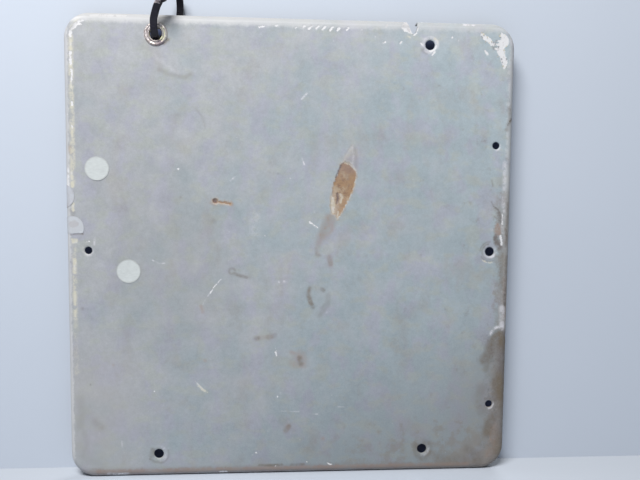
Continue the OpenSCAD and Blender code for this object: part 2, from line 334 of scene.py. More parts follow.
WHITE = [
    (0, [(127, 150.4), (129, 150), (131.5, 148.8), (134.8, 146.6), (135.6, 144.4), (138.4, 143.8),
         (137, 142), (134.8, 142), (132.4, 144.2), (129.6, 146), (127.8, 147.6)]),
    (0, [(142.2, 150.8), (145.6, 149.4), (147.4, 145.8), (146.6, 143), (144.2, 140.6), (145.6, 135.6),
         (146.8, 131), (145.6, 127.4), (144.2, 126), (142.8, 130.4), (141, 135), (138.6, 138.8),
         (136.2, 140.2), (140.8, 141.8), (137.2, 142.8), (140.6, 144.2), (138.4, 145.4), (141.8, 146.6),
         (140.8, 148.8)]),
    (0, [(130, 139), (131.5, 139), (133.5, 135.5), (132, 135.5)]), (0.55, [(-77.8, 55.4)]),
    (0.5, [(-2.4, 50.1)]),
    (0, [(72.2, 153), (73.8, 155.8), (77.4, 157.4), (78.6, 155), (80, 151.6), (81.4, 149.2), (79, 148.6),
         (76.5, 149.4), (74, 150.8)]),
    (0.4, [(81, 147.9), (82.6, 149.2), (83.5, 152), (84.1, 155)]),
    (0.5, [(-24, 150.4), (-23, 150.6), (-20.5, 150.9)]), (0.45, [(-12.6, 151.6), (-11.6, 152.1)]),
    (0.3, [(0.4, 150.4), (1.2, 151.2)]), (0.52, [(5.2, 150.7), (6.4, 152.0)]),
    (0.62, [(9.4, 150.4), (11, 152)]), (0.68, [(14.2, 150.4), (15.8, 152.2)]),
    (0.62, [(18.8, 150.0), (20.4, 152.0)]), (0.62, [(23.8, 149.6), (25.2, 151.6)]),
    (0.55, [(28.4, 149.4), (30.0, 151.2)]), (0.45, [(34.8, 150), (36.4, 151.4)]),
    (0.5, [(61.5, 152.8), (62.6, 154)]), (0.65, [(60.6, 142.1), (61.5, 142.9)]),
    (0.75, [(71.8, 142.3), (72.3, 142.9)]), (0.42, [(107.5, 147)]), (0.5, [(85.8, 142.8), (87.2, 141.2)]),
    # Below, the arc at the lower right of the top right hole is a chip and a painted highlight on the
    # hole's rounded edge.
    (0.38, [(93.8, 134.9), (96, 137)]), (0.38, arc(92.5, 141.5, 4.2, -95, -10)),
    (0, [(-146.8, 145.4), (-145.2, 148.8), (-142.4, 151.4), (-139.4, 153), (-138.6, 151.6), (-141, 150.2),
         (-140, 148.8), (-142.6, 148.4), (-143.8, 146.4)]),
    (0.8, [(-134, 155), (-120, 155.2), (-112, 155)]), (0.9, [(-147.2, 144), (-147.2, 141.5)]),
    (0.75, [(-147.3, 131), (-147.2, 123)]), (0.6, [(-146.9, 119.5), (-146.6, 116), (-147, 112.5)]),
    (0.5, [(-147.2, 98.5), (-146.8, 96.5)]), (0.35, [(-150, 90.5)]),
    (0.45, [(-147.3, 83.5), (-146.8, 81.5)]), (0.7, [(-150.6, 56), (-150.4, 53)]),
    (0.9, [(-150.6, 50), (-150.8, 46), (-150.4, 42.5)]), (0.55, [(11, 20), (14, 18), (16.5, 16.5)]),
    (0.25, [(-57.2, -29.4), (-54.6, -25.2), (-51, -21)]), (0.45, [(-12, -70.5), (-11.4, -73)]),
    (0.7, [(25.6, -150.8), (27.4, -151.4)]), (0.4, [(-11.6, -151.8)]), (0.3, [(10.2, -149.4)]),
    (0.45, [(-25.2, -142)]), (0.4, [(-50.6, -155.4), (-46, -155.6)]), (0.45, [(-95.1, -97.3)]),
    (0.35, [(-89.1, -107)]), (0.55, [(-10.6, -102)]), (0.4, [(-139.8, 5.6), (-138.4, 6.4), (-137.2, 6.2)]),
    (0.35, [(146, 26.5), (146.4, 19.5)]), (0.65, [(145.6, 11), (146.4, 5)]),
    (0.35, [(-120.5, -155.6), (-117.5, -155.4)]),
]
# Dark marks in the rust's sunk recess along its left side, in a pit and at the notch's floor: dark rust
# with painted shade.
DARK = [
    (0.6, [(30, 39.5), (30.4, 36.5), (29.8, 33.2)]), (0.4, [(28.6, 50.6), (29.8, 53.6), (32, 58.6)]),
    (1.5, [(-53.4, 34.1)]), (0.25, [(79.8, 149.4), (80.6, 148.6), (81.4, 149.2)]),
]
WEAR = [
    (0, [(151.5, -56), (145, -58), (139.5, -62), (135.5, -68.5), (135, -75.5), (138.5, -82), (139.5, -90.5),
         (136, -103), (134, -114), (138.5, -121), (137, -136), (129.5, -143), (128.5, -150.5), (130, -162),
         (162, -162), (162, -56)]),
]

# Soft marks: (strength, softness, half width, outline or line). A half width of 0 means a filled outline.
STAINS = [
    (0.34, 1.2, 0.5, [(-10.9, 52.9)]), (0.28, 1.4, 0.5, [(-76.4, 36.3)]),
    (0.20, 4.0, 1.5, [(-136, -118), (-131, -122)]),
    (0.16, 3.0, 1.0, [(-143, -125), (-141, -133), (-144, -142)]),
    (0.12, 3.4, 0.8, [(24, 23), (19.6, 12), (17, 4)]),
    (0.22, 1.2, 0.6, [(15.6, 2), (15.8, -2.6), (18.6, -3)]), (0.26, 2.0, 1.3, [(24.6, -4), (25.6, -9)]),
    (0.46, 1.6, 0.9, [(11.4, -25.5), (10.2, -29.5), (10.6, -33)]),
    (0.58, 1.5, 1.1, [(10.4, -31), (12, -35.4), (13.8, -39)]), (0.50, 1.4, 1.0, [(20, -26.6), (21, -27.2)]),
    (0.26, 2.2, 1.3, [(24.4, -31), (24, -37), (21, -41), (18.4, -45)]),
    (0.26, 1.5, 0.9, [(22.8, -36.6), (20, -40)]), (0.34, 1.1, 0.6, arc(-42, -14, 2.0, 20, 320)),
    (0.42, 1.4, 0.9, [(-40.5, -15.6), (-37, -17), (-32, -18.2)]),
    (0.26, 1.4, 0.9, [(-34, -17.8), (-30, -18)]), (0.50, 1.5, 1.1, [(-25.6, -60.8), (-24, -60.6)]),
    (0.26, 1.8, 1.4, [(-17, -60), (-13, -59)]), (0.26, 1.2, 0.7, [(-13.4, -58.2), (-11.8, -58)]),
    (0.42, 2.0, 1.4, [(4.6, -75), (5.6, -79)]), (0.35, 1.8, 1.2, [(-2.4, -123.4), (-4.4, -126.4)]),
    (0.30, 1.2, 0.6, [(-2, -123)]), (0.22, 1.8, 1.2, [(-54.5, 20.5)]), (0.30, 1.5, 0.8, [(-142.5, -39.5)]),
    (0.55, 0.9, 0.4, [(-138, -92)]), (0.14, 3.5, 2.0, [(-145, -102), (-144, -112), (-145.4, -121)]),
    (0.08, 3.5, 2.0, [(-145.6, -134), (-142, -143), (-130, -150)]),
    (0.55, 1.2, 0.6, [(-23, -151), (-14, -151.3), (-7.5, -151)]),
    (0.55, 1.2, 0.6, [(-0.5, -151.2), (8, -151)]), (0.45, 2.0, 1.0, [(-96.6, -138.6), (-97.4, -143)]),
    (0.35, 1.2, 0.6, [(-98.5, -145), (-95.5, -147), (-90, -147.6)]),
    (0.30, 1.0, 0.4, arc(-92.5, -141.5, 6.8, -75, 20)),
    (0.45, 2.6, 1.4, [(88, -138.5), (87.8, -143), (90, -147), (95, -149)]),
    (0.35, 2.2, 1.2, arc(92.5, -141.5, 6.4, -60, 70)), (0.35, 2.0, 1.0, [(87.5, 138), (90, 136.5)]),
    (0.40, 0.9, 0.35, arc(138, 0, 5.4, 100, 320)), (0.35, 0.9, 0.35, arc(138, 0, 6.9, -150, -60)),
    (0.30, 0.9, 0.35, arc(138, 0, 6.9, 90, 175)), (0.45, 1.4, 0.8, [(137.6, -106), (141.5, -105.5)]),
    (0.30, 1.8, 1.0, [(149, 99), (150, 93), (148, 85)]), (0.95, 0.9, 0.4, [(148.4, 88.6), (151.2, 92.6)]),
    (0.75, 1.6, 0.9, [(-86.8, 138.2), (-84.4, 140.4)]),
    (0.28, 0.9, 0, [(-90.6, 155), (-84.4, 155), (-84, 152.6), (-86, 151.6), (-86.6, 149.8),
         (-90.4, 151.2)]),
    (0.26, 2.4, 0.8, [(-90, 121), (-84, 118), (-78, 117), (-73.5, 116), (-69, 118.4)]),
    (0.26, 1.6, 0.8, [(-75, 116.4), (-72.5, 116)]), (0.18, 1.6, 0.5, [(-79.5, 121.5), (-77, 117.4)]),
    (0.18, 1.4, 0.4, [(-66, 95.6), (-62, 90.7), (-60, 84)]),
    (0.45, 1.0, 0.35, [(138.4, 35), (139.6, 32), (143.2, 29.6), (144.6, 25)]),
    (0.35, 1.0, 0.3, [(138, 50), (139, 46)]), (0.45, 1.8, 1.0, [(144, 27), (145.4, 21)]),
    (0.35, 1.4, 0.6, [(149.8, 34), (150.2, 26), (149.6, 18)]),
    (0.50, 1.4, 0.8, [(149, 16), (150.2, 10), (149.4, 4)]),
    (0.60, 0.9, 0.3, [(-149.5, 10.8), (-141.2, 11.1)]), (0.45, 0.9, 0.3, [(-149.5, 22.8), (-147, 23.2)]),
    (0.30, 1.5, 1.0, [(-149, 27), (-147.4, 25.4)]), (0.60, 2.0, 1.5, [(142.2, 10.4), (142.4, 7), (145, 3)]),
    (0.30, 2.2, 1.2, [(147.4, -2), (146.8, -14), (148, -26)]),
    (0.34, 2.2, 1.4, [(150.4, -4), (150.6, -18), (150.2, -30)]),
    (0.75, 1.6, 1.0, [(149.6, -31), (150, -38)]),
    (0.55, 2.6, 1.6, [(147.6, -57.6), (143, -61), (140.8, -66)]),
    (0.55, 5.0, 2.6, [(142, -66), (139.4, -73), (136.6, -78)]),
    (0.75, 6.0, 3.0, [(149.5, -64), (150, -84), (149, -104)]),
    (0.45, 7.0, 3.0, [(150, -104), (151, -126), (148, -148)]),
    (0.50, 3.5, 2.0, [(144.5, -93), (146, -99), (145, -106)]),
    (0.25, 5.0, 2.5, [(134.5, -98), (133, -106), (135, -114)]),
    (0.45, 4.5, 2.5, [(130, -146), (133, -150)]), (0.50, 4.0, 2.4, [(146, -118), (141, -124), (140, -131)]),
    (0.45, 3.4, 2.0, [(125.5, -142.5), (129, -144.5)]), (0.40, 3.0, 1.4, [(139.5, -76), (137.4, -84)]),
    (0.40, 2.4, 1.2, [(146.4, -88), (145.6, -95)]),
    (0.30, 5.0, 2.5, [(104, -148), (118, -150), (126, -149)]),
    (0.40, 3.0, 1.0, [(151, -110), (150.5, -140), (142, -151)]),
]
# Pale rubs and scratches. The crescents at the holes' lower right and the pale lines along the bends'
# ridges are worn paint and painted highlights where the rounded edges catch the light.
PALE = [
    (0.17, 2.2, 0.9, [(-93.5, 130), (-86, 124.4), (-78, 119)]),
    (0.95, 0.6, 0.35, [(-42.9, 47.9), (-40, 50.2)]), (0.50, 1.2, 0.9, arc(92.5, 141.5, 4.9, 0, 360, 16)),
    (0.60, 1.0, 0.8, arc(92.5, 141.5, 5.2, 20, 80)), (0.55, 1.0, 0.8, arc(92.5, 141.5, 5.2, 130, 200)),
    (0.30, 1.0, 0.45, arc(-138, 0, 3.5, 0, 360, 14)), (0.30, 1.0, 0.7, arc(138, 0, 4.3, 0, 360, 16)),
    (0.85, 0.7, 0.4, arc(138, 0, 4.1, -85, -5)), (0.32, 1.2, 0.8, arc(-92.5, -141.5, 5.0, -80, 60)),
    (0.30, 1.0, 0.7, arc(92.5, -141.5, 4.6, -90, 20)), (0.50, 0.8, 0.4, arc(140.5, 74, 3.2, -90, 10)),
    (0.45, 0.8, 0.4, arc(140.5, -109.5, 3.2, -90, 30)), (0.40, 1.2, 0.8, [(87.8, 144.8), (86.4, 141)]),
    (0.70, 0.6, 0.25, [(-58.5, -31), (-56.4, -28), (-54.5, -25), (-52.4, -22.4), (-49.5, -19.5)]),
    (0.35, 0.6, 0.2, [(-59.6, -32.5), (-62, -37)]), (0.80, 0.6, 0.3, [(5.4, 63.4), (7, 59.4)]),
    (0.95, 0.7, 0.5, [(5, 103.5), (8.5, 107.5)]), (0.32, 0.5, 0.25, [(-9, -112.5), (4.5, -113)]),
    (0.60, 0.6, 0.25, [(14.5, -115), (17.5, -115)]), (0.30, 0.5, 0.25, [(31.5, -110), (36, -110)]),
    (0.70, 0.6, 0.2, [(-95.5, -6.5), (-91, -8.8), (-87.5, -8.5)]), (0.60, 0.6, 0.4, [(-19.5, 10.5)]),
    (0.40, 0.9, 0.6, [(14.5, 27)]), (0.80, 1.0, 0.6, [(-10, -21.2)]), (0.60, 1.1, 0.7, [(-6.2, -21)]),
    (0.20, 3.5, 2.5, [(-26, 24), (-26.5, 12)]), (0.35, 1.0, 0.6, [(-24.6, 24.6)]),
    (0.40, 1.0, 0.6, [(-8.4, -99.6)]), (0.80, 0.5, 0.15, [(-11.4, -69.5), (-11, -73)]),
    (0.45, 0.5, 0.15, [(-12.4, -66), (-12, -68)]), (0.60, 0.7, 0.3, [(21, 145.5)]),
    (0.60, 0.7, 0.3, [(26, 142.5)]), (0.55, 0.7, 0.3, [(54.5, 146)]), (0.60, 0.7, 0.35, [(112, 145)]),
    (0.50, 0.6, 0.3, [(44.5, 149.7), (45.5, 150.4)]),
    (0.50, 1.4, 0.9, [(-127, -155.4), (-121, -155.9), (-114, -155.4)]),
    (0.45, 0.6, 0.2, [(-59.5, -138.5), (-59.5, -141)]), (0.45, 0.6, 0.25, [(-117.5, -132), (-117.5, -136)]),
    (0.50, 0.6, 0.3, [(138.5, 86), (139.5, 88)]), (0.35, 1.0, 0.5, [(23.5, -43)]),
    (0.50, 0.8, 0.45, [(-133.6, 9), (-134, 4)]), (0.55, 1.0, 0.5, [(146.7, 57), (146.8, 46), (146.6, 35)]),
    (0.55, 2.2, 1.6, [(148, -40), (148.6, -46), (148.4, -54)]),
    (0.85, 1.2, 0.7, [(140.4, -58.6), (142.4, -55), (145.6, -53.6), (149.5, -53)]),
    (0.45, 1.8, 1.2, [(149.6, 146), (151.4, 141), (151, 134)]),
    (0.90, 0.9, 0.6, [(116, 156), (123, 155.6)]),
    (0.58, 1.8, 1.3, [(-147.2, 141), (-147.2, 60), (-147.8, 44)]),
    (0.50, 1.6, 1.3, [(-147.2, 4), (-147.2, -20), (-147.3, -46)]),
    (0.28, 1.6, 1.2, [(-147.2, -46), (-146.8, -84)]),
    (0.35, 1.5, 1.2, [(-146.6, 146), (-143, 150.6), (-138, 153)]), (0.70, 0.9, 0.6, [(139.4, 15.8)]),
    (0.34, 1.0, 0.5, [(40.2, 61), (40.8, 66), (40.4, 71)]),
    (0.34, 0.9, 0.4, [(33, 60.6), (35, 62.4), (38, 61.6), (40.6, 58.6), (43, 54)]),
    (0.45, 1.6, 1.0, [(147, 62), (147, 36), (147, 14)]),
]
BLUSH = [
    (0.42, 3.4, 0, [(22.5, 25), (19, 16), (16.4, 8), (16, 4), (19.5, 7), (23, 10), (27, 14.5), (28.6, 21),
         (27, 26)]),
    (0.22, 2.6, 1.6, [(26, 22), (22, 13), (18.5, 6)]), (0.24, 2.2, 1.2, [(17.4, 7), (16.4, 1), (16.8, -3)]),
    (0.24, 2.2, 0, [(34, 61), (35.5, 66), (38, 70.4), (40.4, 73), (42, 71), (43, 66), (43.2, 58),
         (41.6, 56)]),
    (0.22, 1.4, 0.7, [(34.4, 62.6), (37, 69), (39.4, 72.6)]),
    (0.18, 1.4, 0.6, [(43.2, 56), (43.6, 64), (42.6, 71)]), (0.40, 1.5, 1.0, [(-1.2, -70.6), (0.2, -71.4)]),
    (0.40, 2.2, 1.8, [(5, -74), (7, -79.6)]),
    (0.34, 2.4, 0, [(-2, -70), (3, -71), (8.4, -70.6), (9.6, -76), (9, -81.4), (4, -81.6), (0, -80.6),
         (1.6, -75.4)]),
    (0.22, 2.4, 2.0, [(-0.6, -78), (5, -71)]), (0.25, 2.0, 1.4, [(-3, -123.6), (-4.6, -126.6)]),
    (0.22, 1.8, 1.0, [(11, -28), (12, -36)]), (0.25, 1.8, 1.2, [(-25, -60.6), (-15, -59.4)]),
    (0.26, 5.0, 2.5, [(145, -126), (145.5, -136), (142, -147)]),
    (0.50, 1.1, 0.5, [(143.4, -127), (142.2, -132), (142.6, -136)]),
    (0.45, 1.1, 0.5, [(146, -134), (145, -140)]), (0.60, 1.6, 1.9, [(143.4, 18), (143.6, 12.6)]),
    (0.45, 1.5, 1.0, [(150.4, -30), (150.2, -34)]),
    (0.35, 1.5, 1.2, [(-134, -153.4), (0, -153.6), (126, -153.4)]),
    (0.50, 1.6, 1.0, [(-148.8, 69), (-148.2, 65.5)]), (0.40, 1.8, 1.0, [(21.5, -133)]),
    (0.30, 2.2, 1.6, [(25.6, 19.5), (24.6, 15)]), (0.34, 2.0, 1.3, [(25, -4), (25.8, -9.5)]),
    (0.70, 1.2, 0.9, [(-51.6, 33.2), (-47.5, 32.7), (-42.2, 32.1)]), (0.80, 1.4, 1.8, [(-53.4, 33.7)]),
    (0.45, 1.5, 0.8, [(-56, 32.8), (-53.6, 31.8)]), (0.30, 1.6, 1.0, [(-60.5, -76)]),
    (0.35, 1.6, 0.8, [(-63, -38), (-62, -42)]), (0.30, 1.2, 0.7, [(-122.5, -78.5)]),
    (0.30, 2.5, 1.4, [(150, -20), (150.6, -46)]),
]
# Paint that has lifted into a blister beside the rust: (height, outline).
BLISTERS = [(0.5, [(33.8, 62.2), (35.2, 66), (37.6, 70), (40.4, 73.4), (42, 71.4), (43, 66), (43.4, 60),
                   (42.6, 57), (40.6, 58.4), (37, 61.4)])]
# Dents in the rim's corner: (x, z, radius, depth).
NICKS = [(152.5, 93, 1.6, 0.5), (-152.5, 89, 1.4, 0.25), (-152.5, 44, 1.2, 0.25), (-60, 157.5, 2, 0.2),
         (-129, 157.5, 1.2, 0.25), (-118, 157.5, 1, 0.25), (-20, -157.5, 2.4, 0.3), (152.5, -60, 2.2, 0.35)]

LAYERS = {"rust": RUST, "cream": CREAM, "white": WHITE, "dark": DARK, "wear": WEAR}
SOFT_LAYERS = {"stain": STAINS, "pale": PALE, "blush": BLUSH}


def line_distance(points, x, z, closed=False):
    """How far (x, z) is from a run of straight stretches."""
    if len(points) == 1:
        return np.hypot(x - points[0][0], z - points[0][1])
    ends = list(points[1:]) + ([points[0]] if closed else [])
    best = np.full(x.shape, np.inf)
    for (ax, az), (bx, bz) in zip(points, ends):
        dx, dz = bx - ax, bz - az
        t = np.clip(((x - ax) * dx + (z - az) * dz) / (dx * dx + dz * dz), 0, 1)
        best = np.minimum(best, np.hypot(x - ax - t * dx, z - az - t * dz))
    return best


def inside(points, x, z):
    """Where (x, z) is inside an outline."""
    odd = np.zeros(x.shape, bool)
    for (ax, az), (bx, bz) in zip(points, list(points[1:]) + [points[0]]):
        if az != bz:
            crosses = (az > z) != (bz > z)
            odd ^= crosses & (x < (bx - ax) * (z - az) / (bz - az) + ax)
    return odd


def mark_distance(half_width, points, x, z):
    """Distance to a mark's edge, below 0 inside it."""
    if half_width:
        return line_distance(points, x, z) - half_width
    far = line_distance(points, x, z, closed=True)
    return np.where(inside(points, x, z), -far, far)


def layer_distance(marks, x, z):
    """Distance to the nearest of several marks."""
    return np.min([mark_distance(half, points, x, z) for half, points in marks], axis=0)


def soft_strength(marks, x, z):
    """How strongly soft marks show, from 0 to 1."""
    total = np.zeros(x.shape)
    for strength, soft, half, points in marks:
        fade = np.clip(1 - (mark_distance(half, points, x, z) + soft * 0.3) / soft, 0, 1)
        total = np.maximum(total, strength * fade * fade * (3 - 2 * fade))
    return total


def hash_noise(x, z, period, seed):
    """Smooth value noise from -1 to 1, the same in each run."""
    def corner(i, j):
        mixed = (i.astype(np.int64) * 73856093) ^ (j.astype(np.int64) * 19349663) ^ (seed * 83492791)
        mixed = (mixed ^ (mixed >> 13)) * 1274126177 & 0x7FFFFFFF
        return ((mixed ^ (mixed >> 16)) & 0xFFFF) / 32767.5 - 1
    u, v = x / period, z / period
    i, j = np.floor(u), np.floor(v)
    s, t = u - i, v - j
    s, t = s * s * (3 - 2 * s), t * t * (3 - 2 * t)
    low = corner(i, j) * (1 - s) + corner(i + 1, j) * s
    high = corner(i, j + 1) * (1 - s) + corner(i + 1, j + 1) * s
    return low * (1 - t) + high * t


def step_down(distance, width=0.3):
    """1 inside a mark and 0 outside it, smooth over its edge."""
    t = np.clip(0.5 - distance / (2 * width), 0, 1)
    return t * t * (3 - 2 * t)


def face_drop(x, z, fields):
    """How far the painted surface lies behind the face plane, in millimetres."""
    drop = 0.05 + 0.05 * hash_noise(x, z, 55, 1) + 0.012 * hash_noise(x, z, 9, 2)
    ragged = 0.35 * hash_noise(x, z, 1.3, 3)
    for name, depth in (("white", 0.10), ("cream", 0.08), ("rust", 0.20)):
        drop = drop + depth * step_down(fields[name] + ragged)
    pits = step_down(fields["rust"] + 0.5) * 0.08 * (hash_noise(x, z, 1.1, 4) + hash_noise(x, z, 2.7, 5))
    pits += step_down(fields["wear"] + 1.5) * 0.04 * (hash_noise(x, z, 1.6, 6) + hash_noise(x, z, 4, 7))
    lips = np.exp(-((fields["rust"] - 0.6) / 0.5) ** 2) * 0.10
    drop = drop + pits - lips + 0.35 * step_down(fields["dark"], 0.6) * step_down(fields["rust"] - 1)
    for height, outline in BLISTERS:
        away = mark_distance(0, outline, x, z)
        drop = drop - height * np.clip(-away / 2.5, 0, 1) ** 0.7
    return drop


def mark_fields(x, z):
    """The numbers that the plate's material reads, for every point."""
    fields = {name: layer_distance(marks, x, z) for name, marks in LAYERS.items()}
    fields.update({name: soft_strength(marks, x, z) for name, marks in SOFT_LAYERS.items()})
    return fields


# ---- shapes ----

def link(obj):
    """Puts an object in the scene."""
    bpy.context.scene.collection.objects.link(obj)
    return obj


def solid(name, points, faces, material, angle=35, values=None):
    """A closed mesh from points in millimetres, facing outwards. Edges sharper than angle stay sharp."""
    mesh = bpy.data.meshes.new(name)
    mesh.from_pydata((np.asarray(points, float) * MM).tolist(), [], faces)
    work = bmesh.new()
    work.from_mesh(mesh)
    bmesh.ops.recalc_face_normals(work, faces=work.faces)
    work.to_mesh(mesh)
    work.free()
    mesh.materials.append(material)
    for key, array in (values or {}).items():
        mesh.attributes.new(key, "FLOAT", "POINT").data.foreach_set("value", np.asarray(array, np.float32))
    return soften(link(bpy.data.objects.new(name, mesh)), angle)


def soften(obj, angle):
    """Smooth shading with sharp edges kept."""
    obj.data.polygons.foreach_set("use_smooth", np.ones(len(obj.data.polygons), bool))
    obj.data.set_sharp_from_angle(angle=math.radians(angle))
    return obj


def baked(obj):
    """The object with its modifiers turned into a plain mesh."""
    bpy.context.view_layer.update()
    evaluated = obj.evaluated_get(bpy.context.evaluated_depsgraph_get())
    mesh = bpy.data.meshes.new_from_object(evaluated)
    mesh.name = obj.name
    obj.modifiers.clear()
    obj.data = mesh
    return obj


def numbered(points, more):
    """Adds more points to a list and gives their numbers."""
    start = len(points)
    points.extend(more)
    return list(range(start, len(points)))


def strip(rows, closed_columns):
    """Faces between rows of point numbers."""
    faces = []
    for low, high in zip(rows, rows[1:]):
        count = len(low) if closed_columns else len(low) - 1
        for i in range(count):
            j = (i + 1) % len(low)
            faces.append((low[i], low[j], high[j], high[i]))
    return faces


def tube(rows):
    """Faces of a tube through rows of point numbers, with both ends closed."""
    return strip(rows, True) + [tuple(rows[0]), tuple(rows[-1])]


def double_disc(rings, count):
    """Faces of a thin disc: two layers, each a middle point and rings round it, joined at the rim."""
    total = 1 + rings * count
    faces = []
    for base in (0, total):
        rows = [list(range(base + 1 + k * count, base + 1 + (k + 1) * count)) for k in range(rings)]
        faces += [(base, rows[0][k], rows[0][(k + 1) % count]) for k in range(count)]
        faces += strip(rows, True)
    rim = range(total - count, total)
    return faces + strip([list(rim), [total + k for k in rim]], True)


def unit(v):
    """The way that v points."""
    return v / np.linalg.norm(v)


def across(v, t):
    """The part of v that stands square to the unit vector t."""
    return v - np.dot(v, t) * t


# ---- plate ----

# The notch's sides: (height above the bend's inner line, x). They go on down the face in NOTCH_FLOOR.
NOTCH_LEFT = [(0.0, 77.9), (1.5, 77.3), (3.0, 76.5), (4.5, 75.9)]
NOTCH_RIGHT = [(0.0, 83.0), (1.5, 83.3), (3.0, 83.6), (4.5, 83.9)]
NOTCH_FLOOR = [(77.9, 153.0), (78.3, 152.1), (78.6, 151.3), (79.1, 150.4), (79.4, 149.5),
               (80.0, 148.9), (80.6, 148.4), (81.3, 148.6), (81.8, 149.2), (82.1, 150.1),
               (82.5, 150.8), (82.7, 151.9), (83.0, 153.0)]
NOTCH_X = 80.0
# The mounts whose holes the plate has, with how wide the front edge of each hole is rounded.
HOLE_EDGES = [("top_right_bolt", 1.5), ("left_bolt", 1.1), ("right_bolt", 2.6), ("bottom_bolts", 1.6),
              ("right_screws", 0.9)]
EYELET_HOLE = 4.7       # radius of the hole that the eyelet sits in
RING_POINTS = 48        # points round a hole
CORNER_POINTS = 20      # points round a corner of the face
COARSE_FRONT = 6.4      # widest spacing of the front's points
COARSE_BACK = 7.0       # spacing of the back's points
OUTER_ROWS = 13         # rows of the rim's section that lie on its outer side


def plate_holes():
    """Every hole as (x, z, radius, width of its rounded edge), from the record's mounts."""
    holes = [(EYE_X, EYE_Z, EYELET_HOLE, 0.0)]
    for name, edge in HOLE_EDGES:
        mount = MOUNTS[name]
        x, _, z = (value / MM for value in mount["pos_m"])
        dims = mount["dims"]
        radius = dims.get("r_mm", dims.get("hole_r_mm"))
        half_x, half_z = dims.get("spacing_x_mm", 0) / 2, dims.get("spacing_y_mm", 0) / 2
        for sign in ((-1, 1) if dims.get("count", 1) == 2 else (0,)):
            holes.append((x + sign * half_x, z + sign * half_z, radius, edge))
    return holes


def outline_run(half_x, half_z, radius, first_x, last_x):
    """Points and outward ways along the face's edge, clockwise from first_x on the top edge to last_x."""
    points, ways = [], []

    def straight(start, end, way):
        count = max(2, round(math.dist(start, end)))
        for k in range(count):
            t = k / count
            points.append((start[0] + t * (end[0] - start[0]), start[1] + t * (end[1] - start[1])))
            ways.append(way)

    def corner(x, z, start_deg):
        for k in range(CORNER_POINTS):
            angle = math.radians(start_deg - 90 * k / CORNER_POINTS)
            points.append((x + radius * math.cos(angle), z + radius * math.sin(angle)))
            ways.append((math.cos(angle), math.sin(angle)))

    x, z = half_x - radius, half_z - radius
    straight((first_x, half_z), (x, half_z), (0, 1))
    corner(x, z, 90)
    straight((half_x, z), (half_x, -z), (1, 0))
    corner(x, -z, 0)
    straight((x, -half_z), (-x, -half_z), (0, -1))
    corner(-x, -z, -90)
    straight((-half_x, -z), (-half_x, z), (-1, 0))
    corner(-x, z, 180)
    straight((-x, half_z), (last_x, half_z), (0, 1))
    points.append((last_x, half_z))
    ways.append((0, 1))
    return np.array(points), np.array(ways)


def rim_rows(bend, thick, depth):
    """The rim's section as (way out from the face's edge, y), from the face round to the back."""
    mid = FACE_Y + bend
    rows = [(bend * math.sin(a), mid - bend * math.cos(a)) for a in np.radians(np.linspace(0, 90, 9))]
    rows += [(bend, y) for y in (mid + 1.3, mid + 2.6, mid + 3.9, depth - 0.5)]
    rows += [(bend - 0.12, depth - 0.17), (bend - 0.4, depth)]
    rows += [(bend - 0.8, depth), (bend - 1.08, depth - 0.17)]
    inner = bend - thick
    rows += [(inner, depth - 0.5), (inner, mid + 2.2), (inner, mid)]
    angles = np.radians([72, 54, 36, 18, 0])
    return rows + [(inner * math.sin(a), mid - inner * math.cos(a)) for a in angles]


def graded_points(size_at, half_x, half_z, largest):
    """Middles of square cells that are halved until they are as small as size_at asks."""
    count_x, count_z = math.ceil(half_x / largest), math.ceil(half_z / largest)
    xs = (np.arange(-count_x, count_x) + 0.5) * largest
    zs = (np.arange(-count_z, count_z) + 0.5) * largest
    x, z = (a.ravel() for a in np.meshgrid(xs, zs))
    size = largest
    kept = []
    while len(x):
        wanted = size_at(x, z)
        done = size <= wanted * 1.42
        kept.append(np.stack([x[done], z[done]], 1))
        x, z = x[~done], z[~done]
        quarter = size / 4
        x, z = (np.concatenate([x - quarter, x + quarter, x - quarter, x + quarter]),
                np.concatenate([z - quarter, z - quarter, z + quarter, z + quarter]))
        size /= 2
    return np.concatenate(kept)


def flat_sheet(loop, holes, fill):
    """Triangles between the loop and the holes' rings, through the fill points.

    Gives the points, the triangles and the new number of each old point.
    """
    rings = [loop] + holes
    points = np.concatenate(rings + [fill])
    edges, start = [], 0
    for ring in rings:
        edges += [(start + k, start + (k + 1) % len(ring)) for k in range(len(ring))]
        start += len(ring)
    made = delaunay_2d_cdt([Vector(p) for p in points], edges, [], 0, 1e-7)
    spots, triangles, origins = np.array([tuple(v) for v in made[0]]), np.array(made[2]), made[3]
    back = np.full(len(points), -1)
    for new, olds in enumerate(origins):
        for old in olds:
            back[old] = new
    mid = spots[triangles].mean(axis=1)
    keep = inside(loop, *mid.T)
    for ring in holes:
        keep &= ~inside(ring, *mid.T)
    return spots, triangles[keep], back


def circle(x, z, radius):
    angles = np.linspace(0, 2 * math.pi, RING_POINTS, endpoint=False)
    return np.stack([x + radius * np.cos(angles), z + radius * np.sin(angles)], 1)


def front_spacing(x, z, finest, half_x, half_z):
    """How far apart the front's points should lie: close at marks, holes and edges, wide elsewhere."""
    near = np.min([abs(layer_distance(marks, x, z)) for marks in LAYERS.values()], axis=0)
    for _, outline in BLISTERS:
        near = np.minimum(near, abs(mark_distance(0, outline, x, z)) * 0.6)
    for hole_x, hole_z, radius, edge in plate_holes():
        near = np.minimum(near, abs(np.hypot(x - hole_x, z - hole_z) - radius - edge))
    near = np.minimum(near, line_distance(NOTCH_FLOOR, x, z))
    near = np.minimum(near, np.maximum(half_x - abs(x), 0))
    near = np.minimum(near, np.maximum(half_z - abs(z), 0))
    soft = np.min([np.maximum(mark_distance(half, points, x, z), 0) * 0.4 + 0.42 * softness
                   for marks in SOFT_LAYERS.values() for _, softness, half, points in marks], axis=0)
    size = np.clip(finest + 0.38 * np.maximum(near - 0.4, 0), 0, np.minimum(soft, 5))
    size = np.where(layer_distance(WEAR, x, z) < 0.5, np.minimum(size, 1.2), size)
    return np.where(layer_distance(RUST, x, z) < 0.5, np.minimum(size, 0.5), size)


